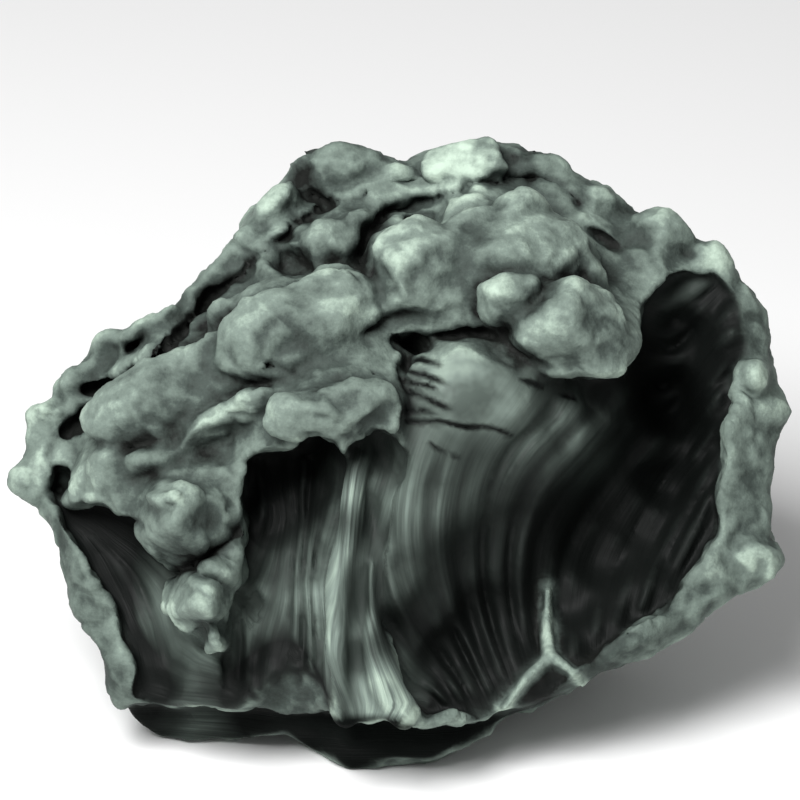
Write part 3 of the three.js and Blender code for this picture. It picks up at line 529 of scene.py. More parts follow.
UNDERCUT = Hollow(
    top=(22, -45.5), foot=(-55, -45.5),
    left=[
        (-44.5, -45.3), (-29.5, -45.5), (-19.5, -46), (-12.5, -46.2), (-9, -46.8), (-2.5, -47.3),
        (3.6, -47.9), (9, -48), (12.5, -47.3), (16, -46.3),
    ],
    right=[(-53.5, -60.5), (-18, -65), (19.5, -60.5)],
    floor=[
        (-52, -47, -16), (-44.5, -47.5, -12), (-35.5, -47.5, -10), (-35.5, -52, -15),
        (-44.5, -51, -17), (-18, -48.5, -4), (-18, -52.5, -12), (-9, -50.5, 1), (-9, -57, -7),
        (3.5, -52, 0), (3.5, -55.5, -5), (14.5, -49.5, -4), (19.5, -47, -4),
    ],
    folds=14, fold_height=0.8, seed=2.4,
)
HOLLOWS = [COLUMN, MAIN_HOLLOW, LEFT_HOLLOW, LOW_HOLLOW, UNDERCUT]


# ------------------------------------------------------------------ noise in three dimensions

def value_noise(p, seed):
    """Smooth noise from -1 to 1, one cell to a unit."""
    lattice = np.random.default_rng(seed).random((LATTICE_SIZE,) * 3) * 2 - 1
    whole = np.floor(p).astype(int)
    part = p - whole
    part = part * part * (3 - 2 * part)
    total = 0
    for corner in np.ndindex(2, 2, 2):
        weight = np.prod(np.where(np.array(corner) == 1, part, 1 - part), axis=-1)
        index = (whole + corner) % LATTICE_SIZE
        total = total + weight * lattice[index[:, 0], index[:, 1], index[:, 2]]
    return total


def layered_noise(p, size, layers, seed, ridged=False):
    """Noise in halving sizes. Ridged noise has sharp crests."""
    total = np.zeros(len(p))
    for layer in range(layers):
        noise = value_noise(p / size * 2.0 ** layer + 17.3 * layer, seed)
        total += (1 - 2 * np.abs(noise) if ridged else noise) * 0.5 ** layer
    return total


def cells(p, size, seed):
    """Scattered cells: distances to the nearest two, the way to the nearest and its number."""
    scaled = p / size
    whole = np.floor(scaled).astype(int)
    offsets = np.random.default_rng(seed).random((CELL_TABLE,) * 3 + (3,))
    first = np.full(len(p), 9.0)
    second = np.full(len(p), 9.0)
    number = np.zeros(len(p), int)
    away = np.zeros_like(p)
    for step in np.ndindex(3, 3, 3):
        cell = whole + np.array(step) - 1
        index = cell % CELL_TABLE
        vector = scaled - cell - offsets[index[:, 0], index[:, 1], index[:, 2]]
        distance = np.linalg.norm(vector, axis=1)
        nearer = distance < first
        second = np.where(nearer, first, np.minimum(second, distance))
        first = np.where(nearer, distance, first)
        away[nearer] = vector[nearer]
        number[nearer] = (index[nearer] @ np.array([CELL_TABLE ** 2, CELL_TABLE, 1]))
    return first, second, away * size, number


def facets(p, size, seed):
    """Flat facets that tilt at random, one to a cell, and a random tone for each."""
    warped = p + 0.18 * size * np.stack(
        [layered_noise(p, size * 0.8, 2, seed + k) for k in range(3)], -1
    )
    first, second, away, number = cells(warped, size, seed)
    table = np.random.default_rng(seed + 50)
    tilts = table.normal(size=(CELL_TABLE ** 3, 3))
    tones = table.random(CELL_TABLE ** 3)
    border = np.clip((second - first) * 3.0, 0, 1)
    rise = (away * tilts[number]).sum(-1) / size
    return rise * border, border, tones[number]


# ------------------------------------------------------------------ the stone's form

class Grid:
    """The block of space that holds the stone's distance field."""

    def __init__(self, cell):
        self.cell = cell
        self.low, high = np.array(GRID_LOW), np.array(GRID_HIGH)
        self.count = np.ceil((high - self.low) / cell).astype(int) + 1
        self.axes = [self.low[i] + cell * np.arange(self.count[i]) for i in range(3)]
        self.field = None

    def window(self, low, high):
        start = np.maximum(np.floor((low - self.low) / self.cell).astype(int), 0)
        stop = np.ceil((high - self.low) / self.cell).astype(int) + 1
        return tuple(slice(a, b) for a, b in zip(start, np.minimum(stop, self.count)))

    def sample(self, points):
        """The field between the grid's points."""
        place = (points - self.low) / self.cell
        whole = np.clip(np.floor(place).astype(int), 0, self.count - 2)
        part = np.clip(place - whole, 0, 1)
        total = 0
        for corner in np.ndindex(2, 2, 2):
            weight = np.prod(np.where(np.array(corner) == 1, part, 1 - part), axis=-1)
            total = total + weight * self.field[tuple((whole + corner).T)]
        return total

    def change(self, around, reach, operation, kind, distance):
        """Joins or cuts a form near some points. distance(p) gives the form."""
        around = np.atleast_2d(around)
        window = self.window(around.min(0) - reach, around.max(0) + reach)
        if any(part.stop <= part.start for part in window):
            return
        lines = [axis[part] for axis, part in zip(self.axes, window)]
        p = np.stack(np.meshgrid(*lines, indexing="ij"), -1)
        self.field[window] = operation(self.field[window], distance(p), BLEND[kind])


def fill_body(grid):
    au, av, aw = grid.axes
    u, v = np.meshgrid(au, av, indexing="ij")
    inset = rim_distance(u, v)[:, :, None]
    edge = edge_height(v)
    rise = face_rise(u, v)
    fall = np.maximum(edge - spread(BACK_HEIGHTS, u, v, SOFTNESS["back"]), LEAST_FALL)
    above = aw[None, None, :] - edge[:, :, None]
    halves = []
    for rounding, away, most in [(FRONT_ROUNDING, above, rise), (BACK_ROUNDING, -above, fall)]:
        out = np.maximum(away, 0) * rounding / most[:, :, None]
        halves.append(np.hypot(np.maximum(rounding - inset, 0), out) - rounding)
    field = np.where(above >= 0, *halves).astype(np.float32)
    slope = np.sqrt(sum(part ** 2 for part in np.gradient(field, grid.cell)))
    grid.field = field / np.clip(slope, 0.25, 2.0)


def add_lumps(grid, lumps, kind):
    for (u, v), half, proud, turn, tilt in lumps:
        middle = np.array([u, v, face_height(u, v)[0] + proud - half[2]])
        form = lump_form(middle, axes_of(turn, tilt), np.array(half, float), LUMP_SWAY)
        grid.change(middle, max(half) + 4, join, kind, form)


def cut_hollow(grid, hollow):
    low = np.array([*(hollow.low - 2), grid.low[2]])
    high = np.array([*(hollow.high + 2), grid.axes[2][-1]])

    def distance(p):
        u, v = p[:, :, 0, 0], p[:, :, 0, 1]
        chipped_u = u + 0.5 * np.sin(v / 1.9 + 1.3 * np.sin(u / 3.1))
        chipped_v = v + 0.5 * np.sin(u / 1.7 + 1.1 * np.sin(v / 3.7))
        edge = hollow.coordinates(chipped_u, chipped_v)[3]
        height = hollow.floor_height(u, v)
        steepness = np.hypot(*np.gradient(height, grid.cell))
        level = np.sqrt(1 + np.minimum(steepness, 3) ** 2)
        above = (height[:, :, None] - p[..., 2]) / level[:, :, None]
        return -join(-above, edge[:, :, None] + 0 * p[..., 2], BLEND["hollow rim"])

    grid.change([low, high], 0, cut, "hollow", distance)


def cut_pits(grid):
    for (u, v), (length, width), deep, turn in PITS:
        middle = np.array([u, v, face_height(u, v)[0] + 1])
        half = np.array([length, width, deep + 1.0])
        form = lump_form(middle, axes_of(turn), half, PIT_SWAY)
        grid.change(middle, max(half) + 3, cut, "pit", form)


def evenly_spaced(path):
    """The u and the v of points set close together along a path."""
    corners = np.array(path, float)
    run = np.concatenate([[0], np.cumsum(np.linalg.norm(np.diff(corners, axis=0), axis=1))])
    places = np.linspace(0, run[-1], int(run[-1] / PATH_STEP) + 2)
    return [np.interp(places, run, corners[:, k]) for k in range(2)]


def cut_cracks(grid):
    for width, lift, path in CRACKS:
        u, v = evenly_spaced(path)
        points = np.column_stack([u, v, face_height(u, v) + lift])
        depth = width * CRACK_DEPTH
        grid.change(points, depth + 2, cut, "crack", lambda p: path_distance(
            p + wander(p, *SWAY["crack"]), points, width, depth))


def broken_height(u, v):
    """The face with the hollows in it."""
    height = face_height(u, v)
    for hollow in HOLLOWS:
        inside = hollow.coordinates(u, v)[3] > 0
        height = np.where(inside, np.minimum(height, hollow.floor_height(u, v)), height)
    return height


def laid_path(path, proud):
    """Points along a path, set on the broken face."""
    u, v = evenly_spaced(path)
    height = broken_height(u, v)
    height = np.convolve(np.pad(height, 2, "edge"), np.ones(5) / 5, "valid")
    return np.column_stack([u, v, height + proud - RIDGE_DEPTH])


def laid_slit(half, path):
    """Points along a slit on the broken face. It rises out of the face towards its end."""
    points = np.array(path, float)
    height = broken_height(points[:, 0], points[:, 1])
    out = np.linspace(0, SLIT_END, len(points)) * half * SLIT_DEPTH
    return np.column_stack([points, height + out])


def slit_distance(p, half, path):
    points = laid_slit(half, path)
    return path_distance(p + wander(p, *SWAY["slit"]), points, half, half * SLIT_DEPTH)


def cut_slits(grid):
    for half, path in SLITS:
        grid.change(laid_slit(half, path), half * SLIT_DEPTH + 1, cut, "slit",
                    lambda p: slit_distance(p, half, path))


def add_ridges(grid):
    for start, end, proud, path in FORK + RIBS:
        points = laid_path(path, proud)
        steps = len(points) - 1
        widths = np.linspace(start, end, steps + 1)

        def distance(p):
            swayed = p + wander(p, *SWAY["ridge"])
            return np.minimum.reduce([
                path_distance(swayed, points[k:k + 2], widths[k], RIDGE_DEPTH)
                for k in range(steps)
            ])

        grid.change(points, RIDGE_DEPTH + max(start, end) + 2, join, "ridge", distance)


def cut_scars(grid):
    au, av, aw = grid.axes
    for (x, y, z), radius in FLAKE_SCARS:
        square = (au[:, None, None] - x) ** 2 + (av[None, :, None] - y) ** 2
        distance = np.sqrt(square + (aw[None, None, :] - z) ** 2) - radius
        grid.field = cut(grid.field, distance, BLEND["scar"])


def stone_field(cell):
    grid = Grid(cell)
    fill_body(grid)
    add_lumps(grid, CRUST_LUMPS, "crust")
    for hollow in HOLLOWS:
        cut_hollow(grid, hollow)
    cut_scars(grid)
    add_lumps(grid, HANGING_LUMPS, "hanging")
    cut_pits(grid)
    cut_cracks(grid)
    cut_slits(grid)
    add_ridges(grid)
    _, v, w = np.meshgrid(*grid.axes, indexing="ij", sparse=True)
    ground = -(v * math.cos(LEAN) + w * math.sin(LEAN) + BASE_DROP)
    grid.field = np.maximum(grid.field, ground)
    return grid


# ------------------------------------------------------------------ points and faces

def polygons(grid):
    volume = openvdb.FloatGrid(OUTSIDE)
    volume.copyFromArray(grid.field.astype(np.float32))
    points, triangles, quads = volume.convertToPolygons(isovalue=0.0, adaptivity=0.0)
    halves = np.concatenate([quads[:, [0, 1, 2]], quads[:, [0, 2, 3]], triangles])
    return points * grid.cell + grid.low, halves.astype(int)


def edge_pairs(triangles):
    pairs = np.concatenate([triangles[:, [0, 1]], triangles[:, [1, 2]], triangles[:, [2, 0]]])
    pairs.sort(axis=1)
    keys = np.unique(pairs[:, 0].astype(np.int64) << 32 | pairs[:, 1])
    return np.column_stack([keys >> 32, keys & 0xFFFFFFFF])


def neighbour_mean(values, edges, count):
    a, b = edges[:, 0], edges[:, 1]
    degree = np.maximum(np.bincount(a, minlength=count) + np.bincount(b, minlength=count), 1)
    columns = [
        np.bincount(a, column[b], count) + np.bincount(b, column[a], count)
        for column in values.reshape(count, -1).T
    ]
    return (np.stack(columns, -1) / degree[:, None]).reshape(values.shape)


def smoothed(values, edges, times, amount=0.5):
    for _ in range(times):
        values = values + amount * (neighbour_mean(values, edges, len(values)) - values)
    return values


def normals_of(points, triangles):
    a, b, c = (points[triangles[:, k]] for k in range(3))
    faces = np.cross(b - a, c - a)
    total = np.stack([
        sum(np.bincount(triangles[:, k], faces[:, axis], len(points)) for k in range(3))
        for axis in range(3)
    ], -1)
    return total / np.maximum(np.linalg.norm(total, axis=1, keepdims=True), 1e-9)


def largest_piece(points, triangles):
    """Drops any crumb that isn't joined to the stone."""
    edges = edge_pairs(triangles)
    label = np.arange(len(points))
    while True:
        low = np.minimum(label[edges[:, 0]], label[edges[:, 1]])
        new = label.copy()
        np.minimum.at(new, edges[:, 0], low)
        np.minimum.at(new, edges[:, 1], low)
        new = new[new]
        if (new == label).all():
            break
        label = new
    keep = label == np.bincount(label).argmax()
    number = np.cumsum(keep) - 1
    return points[keep], number[triangles[keep[triangles[:, 0]]]]


def ridge_distance(p, ridges):
    """How far each point is from the nearest of the ridges."""
    nearest = np.full(len(p), 99.0)
    for start, end, proud, path in ridges:
        points = laid_path(path, proud)
        near = np.flatnonzero((np.abs(p - points.mean(0)) < RIDGE_BOX).all(-1))
        away = path_distance(p[near], points, (start + end) / 2, RIDGE_DEPTH)
        nearest[near] = np.minimum(nearest[near], away)
    return nearest


def glass_share(p):
    """1 on the glassy floor of a hollow, 0 on the crust, and the fold coordinates there."""
    glass = np.zeros(len(p))
    phase = np.zeros(len(p))
    along = np.zeros(len(p))
    ribs = np.clip(2 - ridge_distance(p, RIBS), 0, 1)
    for hollow in HOLLOWS:
        _, run, _, edge = hollow.coordinates(p[:, 0], p[:, 1])
        height = hollow.floor_height(p[:, 0], p[:, 1])
        near = np.maximum(np.clip(1.7 - np.abs(p[:, 2] - height) / 1.2, 0, 1), ribs)
        near = near * np.clip(edge / 0.8 + 0.5, 0, 1)
        better = near > glass
        glass = np.where(better, near, glass)
        phase = np.where(better, hollow.phase(p[:, 0], p[:, 1]), phase)
        along = np.where(better, run, along)
    return glass * np.clip(ridge_distance(p, FORK) - 0.5, 0, 1), phase, along


def roughened(points, triangles, settings):
    """Moves the points of the smooth form to give the crust its facets, cobbles and grain."""
    edges = edge_pairs(triangles)
    points = smoothed(points, edges, 1)
    glass = smoothed(glass_share(points)[0], edges, 2)
    even = 1 - slit_share(points)
    points += (glass * even)[:, None] * (smoothed(points, edges, 5) - points)
    shoulder = shoulder_share(points[:, 0], points[:, 1]) * glass * even
    points += shoulder[:, None] * (smoothed(points, edges, 25) - points)
    normals = normals_of(points, triangles)
    height = points[:, 1] * math.cos(LEAN) + points[:, 2] * math.sin(LEAN) + BASE_DROP
    off_ground = np.clip(height / 1.5, 0, 1)
    broad, _, _ = facets(points, **BROAD_FACETS)
    small, border, _ = facets(points, **SMALL_FACETS)
    rise = FACET_RISE["broad"] * broad + FACET_RISE["small"] * small
    crust = settings.facet_height / MM * (rise + FACET_RISE["border"] * (border - 0.7))
    crust += settings.lump_height / MM * layered_noise(points, **LUMP_NOISE)
    crust += settings.grain_height / MM * layered_noise(points, **GRAIN_NOISE)
    crust *= np.clip((ridge_distance(points, FORK) - 0.5) / 2, 0.1, 1)
    floor = settings.strand_height / MM * layered_noise(points, **STRAND_NOISE)
    return points + normals * ((1 - glass) * crust + glass * floor)[:, None] * off_ground[:, None]


def to_world(p):
    """From the sketch plane to metres, with the stone upright on the ground."""
    c, s = math.cos(LEAN), math.sin(LEAN)
    up = np.maximum(p[:, 1] * c + p[:, 2] * s + BASE_DROP, 0)
    return np.column_stack([p[:, 0], p[:, 1] * s - p[:, 2] * c, up]) * MM * SCALE


def to_sketch(world, shift):
    """The way back, for reading places off the finished mesh."""
    c, s = math.cos(LEAN), math.sin(LEAN)
    x, y, z = ((world - shift) / (MM * SCALE)).T
    z = z - BASE_DROP
    return np.column_stack([x, y * s + z * c, -y * c + z * s])


def thinned(obj, ratio):
    """Merges the flattest faces until only this share of them is left."""
    modifier = obj.modifiers.new("Thin", "DECIMATE")
    modifier.ratio = ratio
    depsgraph = bpy.context.evaluated_depsgraph_get()
    mesh = bpy.data.meshes.new_from_object(obj.evaluated_get(depsgraph))
    old = obj.data
    obj.modifiers.clear()
    obj.data = mesh
    bpy.data.meshes.remove(old)


def arrays_of(mesh):
    points = np.empty(len(mesh.vertices) * 3)
    mesh.vertices.foreach_get("co", points)
    mesh.calc_loop_triangles()
    triangles = np.empty(len(mesh.loop_triangles) * 3, int)
    mesh.loop_triangles.foreach_get("vertices", triangles)
    return points.reshape(-1, 3), triangles.reshape(-1, 3)


def store(mesh, name, values):
    kind = "FLOAT_VECTOR" if values.ndim == 2 else "FLOAT"
    attribute = mesh.attributes.new(name, kind, "POINT")
    field = "vector" if values.ndim == 2 else "value"
    attribute.data.foreach_set(field, values.astype(np.float32).ravel())


def unit_range(values, low, high):
    """Stretches the values between two percentiles to 0 and 1."""
    a, b = np.percentile(values, [low, high])
    return np.clip((values - a) / (b - a), 0, 1)


def weathering_and_painted_light(p):
    """How pale the stone is round each place, above or below the rest, from weathering and from
    painted light and shade.
    """
    total = np.zeros(len(p))
    for (u, v), radius, amount in WEATHERED_AND_PAINTED_LIGHT_PLACES:
        height = broken_height(np.array([float(u)]), np.array([float(v)]))[0]
        across = (p[:, 0] - u) ** 2 + (p[:, 1] - v) ** 2
        square = across + (p[:, 2] - height) ** 2 / PLACE_DEPTH_STRETCH ** 2
        total += amount * np.exp(-square / radius ** 2)
    return total


def slit_share(p):
    """1 inside a slit, fading to 0 beside it."""
    share = np.zeros(len(p))
    for half, path in SLITS:
        near = np.flatnonzero((np.abs(p - laid_slit(half, path).mean(0)) < SLIT_BOX).all(-1))
        inside = np.clip(0.9 - slit_distance(p[near], half, path) / half, 0, 1)
        share[near] = np.maximum(share[near], inside)
    return share


def shelter(grid, p, normals):
    """How shut in each point is: 0 in the open, towards 1 at the bottom of a crack or pit. The
    crust is darkened by it as painted shade.
    """
    total = np.zeros(len(p))
    for reach, share in SHELTER_STEPS:
        room = grid.sample(p + normals * reach) / reach
        total += share * np.clip(1 - room, 0, 1)
    return total


def mark_surfaces(mesh, shift, grid):
    """Stores what the material needs at each point, under the names that it reads."""
    world, triangles = arrays_of(mesh)
    p = to_sketch(world, shift)
    edges = edge_pairs(triangles)
    normals = normals_of(p, triangles)
    glass, phase, along = glass_share(p)
    store(mesh, "glass", smoothed(glass, edges, 1))
    store(mesh, "fold", np.column_stack([phase, along * 4, 0 * phase]))
    store(mesh, "shoulder", shoulder_share(p[:, 0], p[:, 1]))
    fine = ((p - smoothed(p, edges, 4)) * normals).sum(-1)
    broad = ((p - smoothed(p, edges, 60)) * normals).sum(-1)
    store(mesh, "edge", unit_range(smoothed(fine, edges, 2), 3, 97))
    # Relief: how far each point stands out of the broad form. The crust is painted paler on rises
    # and darker in hollows by it.
    store(mesh, "relief", unit_range(smoothed(broad, edges, 3), 3, 97))
    # Shelter darkens the crust as painted shade.
    store(mesh, "shelter", smoothed(shelter(grid, p, normals), edges, 2))
    broad_tone, small_tone = facets(p, **BROAD_FACETS)[2], facets(p, **SMALL_FACETS)[2]
    tone = FACET_TONE["broad"] * broad_tone + FACET_TONE["small"] * small_tone
    store(mesh, "tone", smoothed(tone, edges, 1))
    fork = np.clip(1 - ridge_distance(p, FORK) / 0.8, 0, 1)
    store(mesh, "weathering_and_painted_light", weathering_and_painted_light(p) * (1 - fork) + FORK_PALENESS * fork)
    # The base under the stone is painted dark as shade, with a painted sheen towards its left end.
    left = np.clip((BASE_SHEEN["start"] - p[:, 0]) / BASE_SHEEN["length"], 0, 1)
    base_shade = np.clip((SHADED_BASE["top"] - p[:, 1]) / SHADED_BASE["fade"], 0, 1) * glass
    store(mesh, "base_shade", base_shade * (1 - BASE_SHEEN["most"] * left))
    store(mesh, "slit", slit_share(p))


# ------------------------------------------------------------------ material

class Nodes:
    """Short calls for building one material's node tree."""

    def __init__(self, name):
        self.material = bpy.data.materials.new(name)
        self.material.use_nodes = True
        self.tree = self.material.node_tree
        self.tree.nodes.clear()

    def node(self, kind, inputs=(), **options):
        node = self.tree.nodes.new(kind)
        for key, value in options.items():
            setattr(node, key, value)
        for key, value in dict(inputs).items():
            self.set(node.inputs[key], value)
        return node

    def set(self, socket, value):
        if isinstance(value, bpy.types.NodeSocket):
            self.tree.links.new(value, socket)
        else:
            socket.default_value = value

    def math(self, operation, *values, clamp=False):
        node = self.node("ShaderNodeMath", enumerate(values), operation=operation)
        node.use_clamp = clamp
        return node.outputs[0]

    def attribute(self, name):
        return self.node("ShaderNodeAttribute", attribute_name=name)

    def noise(self, vector, scale, detail, roughness=0.5, distortion=0.0):
        inputs = {
            "Vector": vector, "Scale": scale, "Detail": detail,
            "Roughness": roughness, "Distortion": distortion,
        }
        return self.node("ShaderNodeTexNoise", inputs).outputs["Fac"]

    def ramp(self, factor, *stops):
        """A colour ramp from (place, colour) stops."""
        node = self.node("ShaderNodeValToRGB", {"Fac": factor})
        elements = node.color_ramp.elements
        while len(elements) < len(stops):
            elements.new(0.5)
        for element, (place, colour) in zip(elements, stops):
            element.position = place
            element.color = (*colour, 1.0)
        return node.outputs["Color"]

    def span(self, value, low, high, to_low=0.0, to_high=1.0):
        inputs = {
            "Value": value, "From Min": low, "From Max": high, "To Min": to_low, "To Max": to_high,
        }
        return self.node("ShaderNodeMapRange", inputs, clamp=True).outputs["Result"]

    def mix(self, factor, a, b, blend="MIX"):
        node = self.node("ShaderNodeMix", data_type="RGBA", blend_type=blend)
        self.set(node.inputs[0], factor)
        self.set(node.inputs[6], a)
        self.set(node.inputs[7], b)
        return node.outputs[2]


def stone_material(crust, glass):
    n = Nodes("obsidian and crust")
    place = n.node("ShaderNodeTexCoord").outputs["Object"]
    fold = n.attribute("fold").outputs["Vector"]
    tone, relief, edge, glassy, painted_shade, weathered_and_painted_light, smooth_place, base_shade, slit = (
        n.attribute(name).outputs["Fac"] for name in (
            "tone", "relief", "edge", "glass", "shelter", "weathering_and_painted_light", "shoulder", "base_shade",
            "slit",
        )
    )

    # How light the crust is, from large patches down to specks. Cracks and pits are painted dark
    # as shade.
    patches = n.noise(place, 60.0, 5.0, 0.62, 0.4)
    blots = n.noise(place, 170.0, 4.0, 0.6, 0.2)
    clouds = n.noise(place, 110.0, 3.0, 0.5)
    speck = n.noise(place, 700.0, 4.0, 0.7)
    # Painted light and shade: the crust is paler on broad rises and darker in broad hollows, on
    # top of the random tone of its facets.
    light = n.math("MULTIPLY_ADD", relief, 0.28, n.math("MULTIPLY", tone, 0.26))
    for part, share in [
        (n.span(patches, 0.3, 0.7), 0.22), (n.span(blots, 0.3, 0.7), 0.22),
        (n.span(edge, 0.35, 0.75), 0.12), (n.span(speck, 0.35, 0.65, -0.5, 0.5), 0.12),
    ]:
        light = n.math("ADD", light, n.math("MULTIPLY", part, share))
    # Paler and darker places: partly weathering, partly painted light and shade.
    light = n.math("MULTIPLY_ADD", weathered_and_painted_light, 0.3, light)
    # Painted shade in cracks, pits and other shut-in places.
    light = n.math("MULTIPLY_ADD", painted_shade, -0.75, light)
    crust_colour = n.ramp(
        n.span(light, -0.1, 1.0),
        (0.0, crust.deep_colour), (0.35, crust.dark_colour),
        (0.68, crust.middle_colour), (1.0, crust.light_colour),
    )

    # The glass is near black under a dull film, which lies in streaks along the folds. The film is
    # partly painted highlight: strongest on the fold crests and the smooth shoulder, and it
    # follows the paler and darker places.
    stretch = n.node("ShaderNodeVectorMath", {0: fold, 1: (2.4, 0.5, 1.0)}, operation="MULTIPLY")
    grooved = n.math("SUBTRACT", 1.0, smooth_place)
    streak = n.noise(stretch.outputs[0], 1.0, 4.0, 0.6)
    streak = n.math("MULTIPLY_ADD", streak, grooved, n.math("MULTIPLY", clouds, smooth_place))
    # Painted highlight along the fold crests and over the shoulder.
    crest = n.math("MULTIPLY_ADD", n.span(edge, 0.2, 0.75), grooved,
                   n.math("MULTIPLY", smooth_place, 0.75))
    film_and_highlight = n.math("MULTIPLY", n.span(streak, 0.35, 0.7), crest)
    film_and_highlight = n.math("MULTIPLY", n.span(weathered_and_painted_light, 0.0, 1.0), n.math("MULTIPLY_ADD", film_and_highlight, 0.8, 0.2))
    film_and_highlight = n.math("MULTIPLY_ADD", film_and_highlight, 1.1, n.math("MULTIPLY", n.span(edge, 0.6, 0.95), 0.015))
    # Painted shade on the base: no film there.
    film_and_highlight = n.math("MULTIPLY", film_and_highlight, n.math("SUBTRACT", 1.0, base_shade))
    glass_colour = n.ramp(
        film_and_highlight,
        (0.0, glass.deep_colour), (0.4, glass.film_and_highlight_colour), (1.0, crust.light_colour),
    )

    colour = n.mix(glassy, crust_colour, glass_colour)
    colour = n.mix(slit, colour, (*glass.deep_colour, 1.0))
    crust_rough = n.span(patches, 0.3, 0.7, 0.55, 0.75)
    glass_rough = n.span(streak, 0.3, 0.7, glass.roughness, glass.roughness + 0.2)
    roughness = n.node("ShaderNodeMix", data_type="FLOAT")
    n.set(roughness.inputs[0], glassy)
    n.set(roughness.inputs[2], crust_rough)
    n.set(roughness.inputs[3], glass_rough)

    grain = n.math("MULTIPLY", n.noise(place, 900.0, 5.0, 0.65), n.math("SUBTRACT", 1.0, glassy))
    strands = n.math("MULTIPLY", n.noise(stretch.outputs[0], 2.0, 2.0), glassy)
    strands = n.math("MULTIPLY", strands, grooved)
    height = n.math("ADD", grain, n.math("MULTIPLY", strands, 0.5))
    bump = n.node("ShaderNodeBump", {"Strength": 0.5, "Distance": 0.0006, "Height": height})
    shader = n.node("ShaderNodeBsdfPrincipled", {
        "Base Color": colour, "Roughness": roughness.outputs[0], "IOR": 1.5,
        # The base's painted shade also takes most of its specular away.
        "Specular IOR Level": n.span(base_shade, 0.0, 1.0, 0.1, 0.01),
        "Normal": bump.outputs["Normal"],
    })
    n.node("ShaderNodeOutputMaterial", {"Surface": shader.outputs["BSDF"]})
    return n.material


# ------------------------------------------------------------------ settings

class StoneSettings(bpy.types.PropertyGroup):
    cell: bpy.props.FloatProperty(
        name="Cell", description="Spacing of the grid that the stone is formed on",
        default=0.65 * MM, unit="LENGTH")
    face_limit: bpy.props.IntProperty(
        name="Faces", description="Most triangles in the finished stone", default=195000)
    facet_height: bpy.props.FloatProperty(
        name="Facets", description="Height of the broken facets of the crust",
        default=1.15 * MM, unit="LENGTH")
    lump_height: bpy.props.FloatProperty(
        name="Lumps", description="Height of the crust's small lumps",
        default=0.3 * MM, unit="LENGTH")
    grain_height: bpy.props.FloatProperty(
        name="Grain", description="Height of the crust's grain",
        default=0.12 * MM, unit="LENGTH")
    strand_height: bpy.props.FloatProperty(
        name="Strands", description="Height of the fine strands on the folds",
        default=0.12 * MM, unit="LENGTH")


class CrustSettings(bpy.types.PropertyGroup):
    # The palest crust and film, where weathering and painted light add up.
    light_colour: bpy.props.FloatVectorProperty(
        name="Light", description="Colour of the most weathered crust",
        subtype="COLOR", size=3, default=(0.42, 0.525, 0.435))
    middle_colour: bpy.props.FloatVectorProperty(
        name="Middle", description="Colour of most of the crust",
        subtype="COLOR", size=3, default=(0.157, 0.20, 0.173))
    dark_colour: bpy.props.FloatVectorProperty(
        name="Dark", description="Colour of the crust in shade and creases",
        subtype="COLOR", size=3, default=(0.051, 0.066, 0.0585))
    # The darkest end of the crust's ramp: painted shade at the bottom of cracks and pits.
    deep_colour: bpy.props.FloatVectorProperty(
        name="Deep", description="Colour at the bottom of cracks and pits",
        subtype="COLOR", size=3, default=(0.008, 0.009, 0.008))


class GlassSettings(bpy.types.PropertyGroup):
    deep_colour: bpy.props.FloatVectorProperty(
        name="Glass", description="Colour of the bare glass",
        subtype="COLOR", size=3, default=(0.004, 0.005, 0.0045))
    film_and_highlight_colour: bpy.props.FloatVectorProperty(
        name="Film", description="Colour of the dull film along the folds",
        # The film, which also stands in for painted highlights on the fold crests and the
        # shoulder.
        subtype="COLOR", size=3, default=(0.142, 0.18, 0.158))
    roughness: bpy.props.FloatProperty(
        name="Roughness", description="Roughness of the bare glass", default=0.5,
        min=0.0, max=1.0, subtype="FACTOR")


class StageSettings(bpy.types.PropertyGroup):
    floor_colour: bpy.props.FloatVectorProperty(
        name="Floor", description="Colour of the floor", subtype="COLOR", size=3,
        default=(0.8, 0.8, 0.8))
    key_power: bpy.props.FloatProperty(
        name="Key light", description="Power of the light above the face", default=10.6,
        unit="POWER")
    surround: bpy.props.FloatProperty(
        name="Surround", description="Strength of the light from all round", default=0.35,
        min=0.0)


# ------------------------------------------------------------------ operators

class OBSIDIAN_OT_stone(bpy.types.Operator):
    """Build the stone: its form, its rough crust, its glassy hollows and its finish"""

    bl_idname = "obsidian.stone"
    bl_label = "Stone"

    def execute(self, context):
        settings = context.scene.obsidian_stone
        grid = stone_field(settings.cell / MM)
        points, triangles = largest_piece(*polygons(grid))
        points = roughened(points, triangles, settings)
        world = to_world(points)
        middle = (world.min(0) + world.max(0)) / 2
        target = (node_low + node_high) / 2
        shift = np.array([target[0] - middle[0], target[1] - middle[1], node_low[2]])
        mesh = bpy.data.meshes.new("stone")
        mesh.from_pydata((world + shift).tolist(), [], triangles.tolist())
        stone = bpy.data.objects.new("stone", mesh)
        context.collection.objects.link(stone)
        if len(triangles) > settings.face_limit:
            thinned(stone, settings.face_limit / len(triangles))
        stone.data.shade_smooth()
        mark_surfaces(stone.data, shift, grid)
        stone.data.materials.append(
            stone_material(context.scene.obsidian_crust, context.scene.obsidian_glass)
        )
        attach(stone, "root")
        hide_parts(NODE)
        return {"FINISHED"}


class OBSIDIAN_OT_stage(bpy.types.Operator):
    """Set the floor, the lights and the camera"""

    bl_idname = "obsidian.stage"
    bl_label = "Stage"

    def execute(self, context):
        settings = context.scene.obsidian_stage
        add_floor(context, settings)
        add_lights(context, settings)
        add_camera(context)
        return {"FINISHED"}


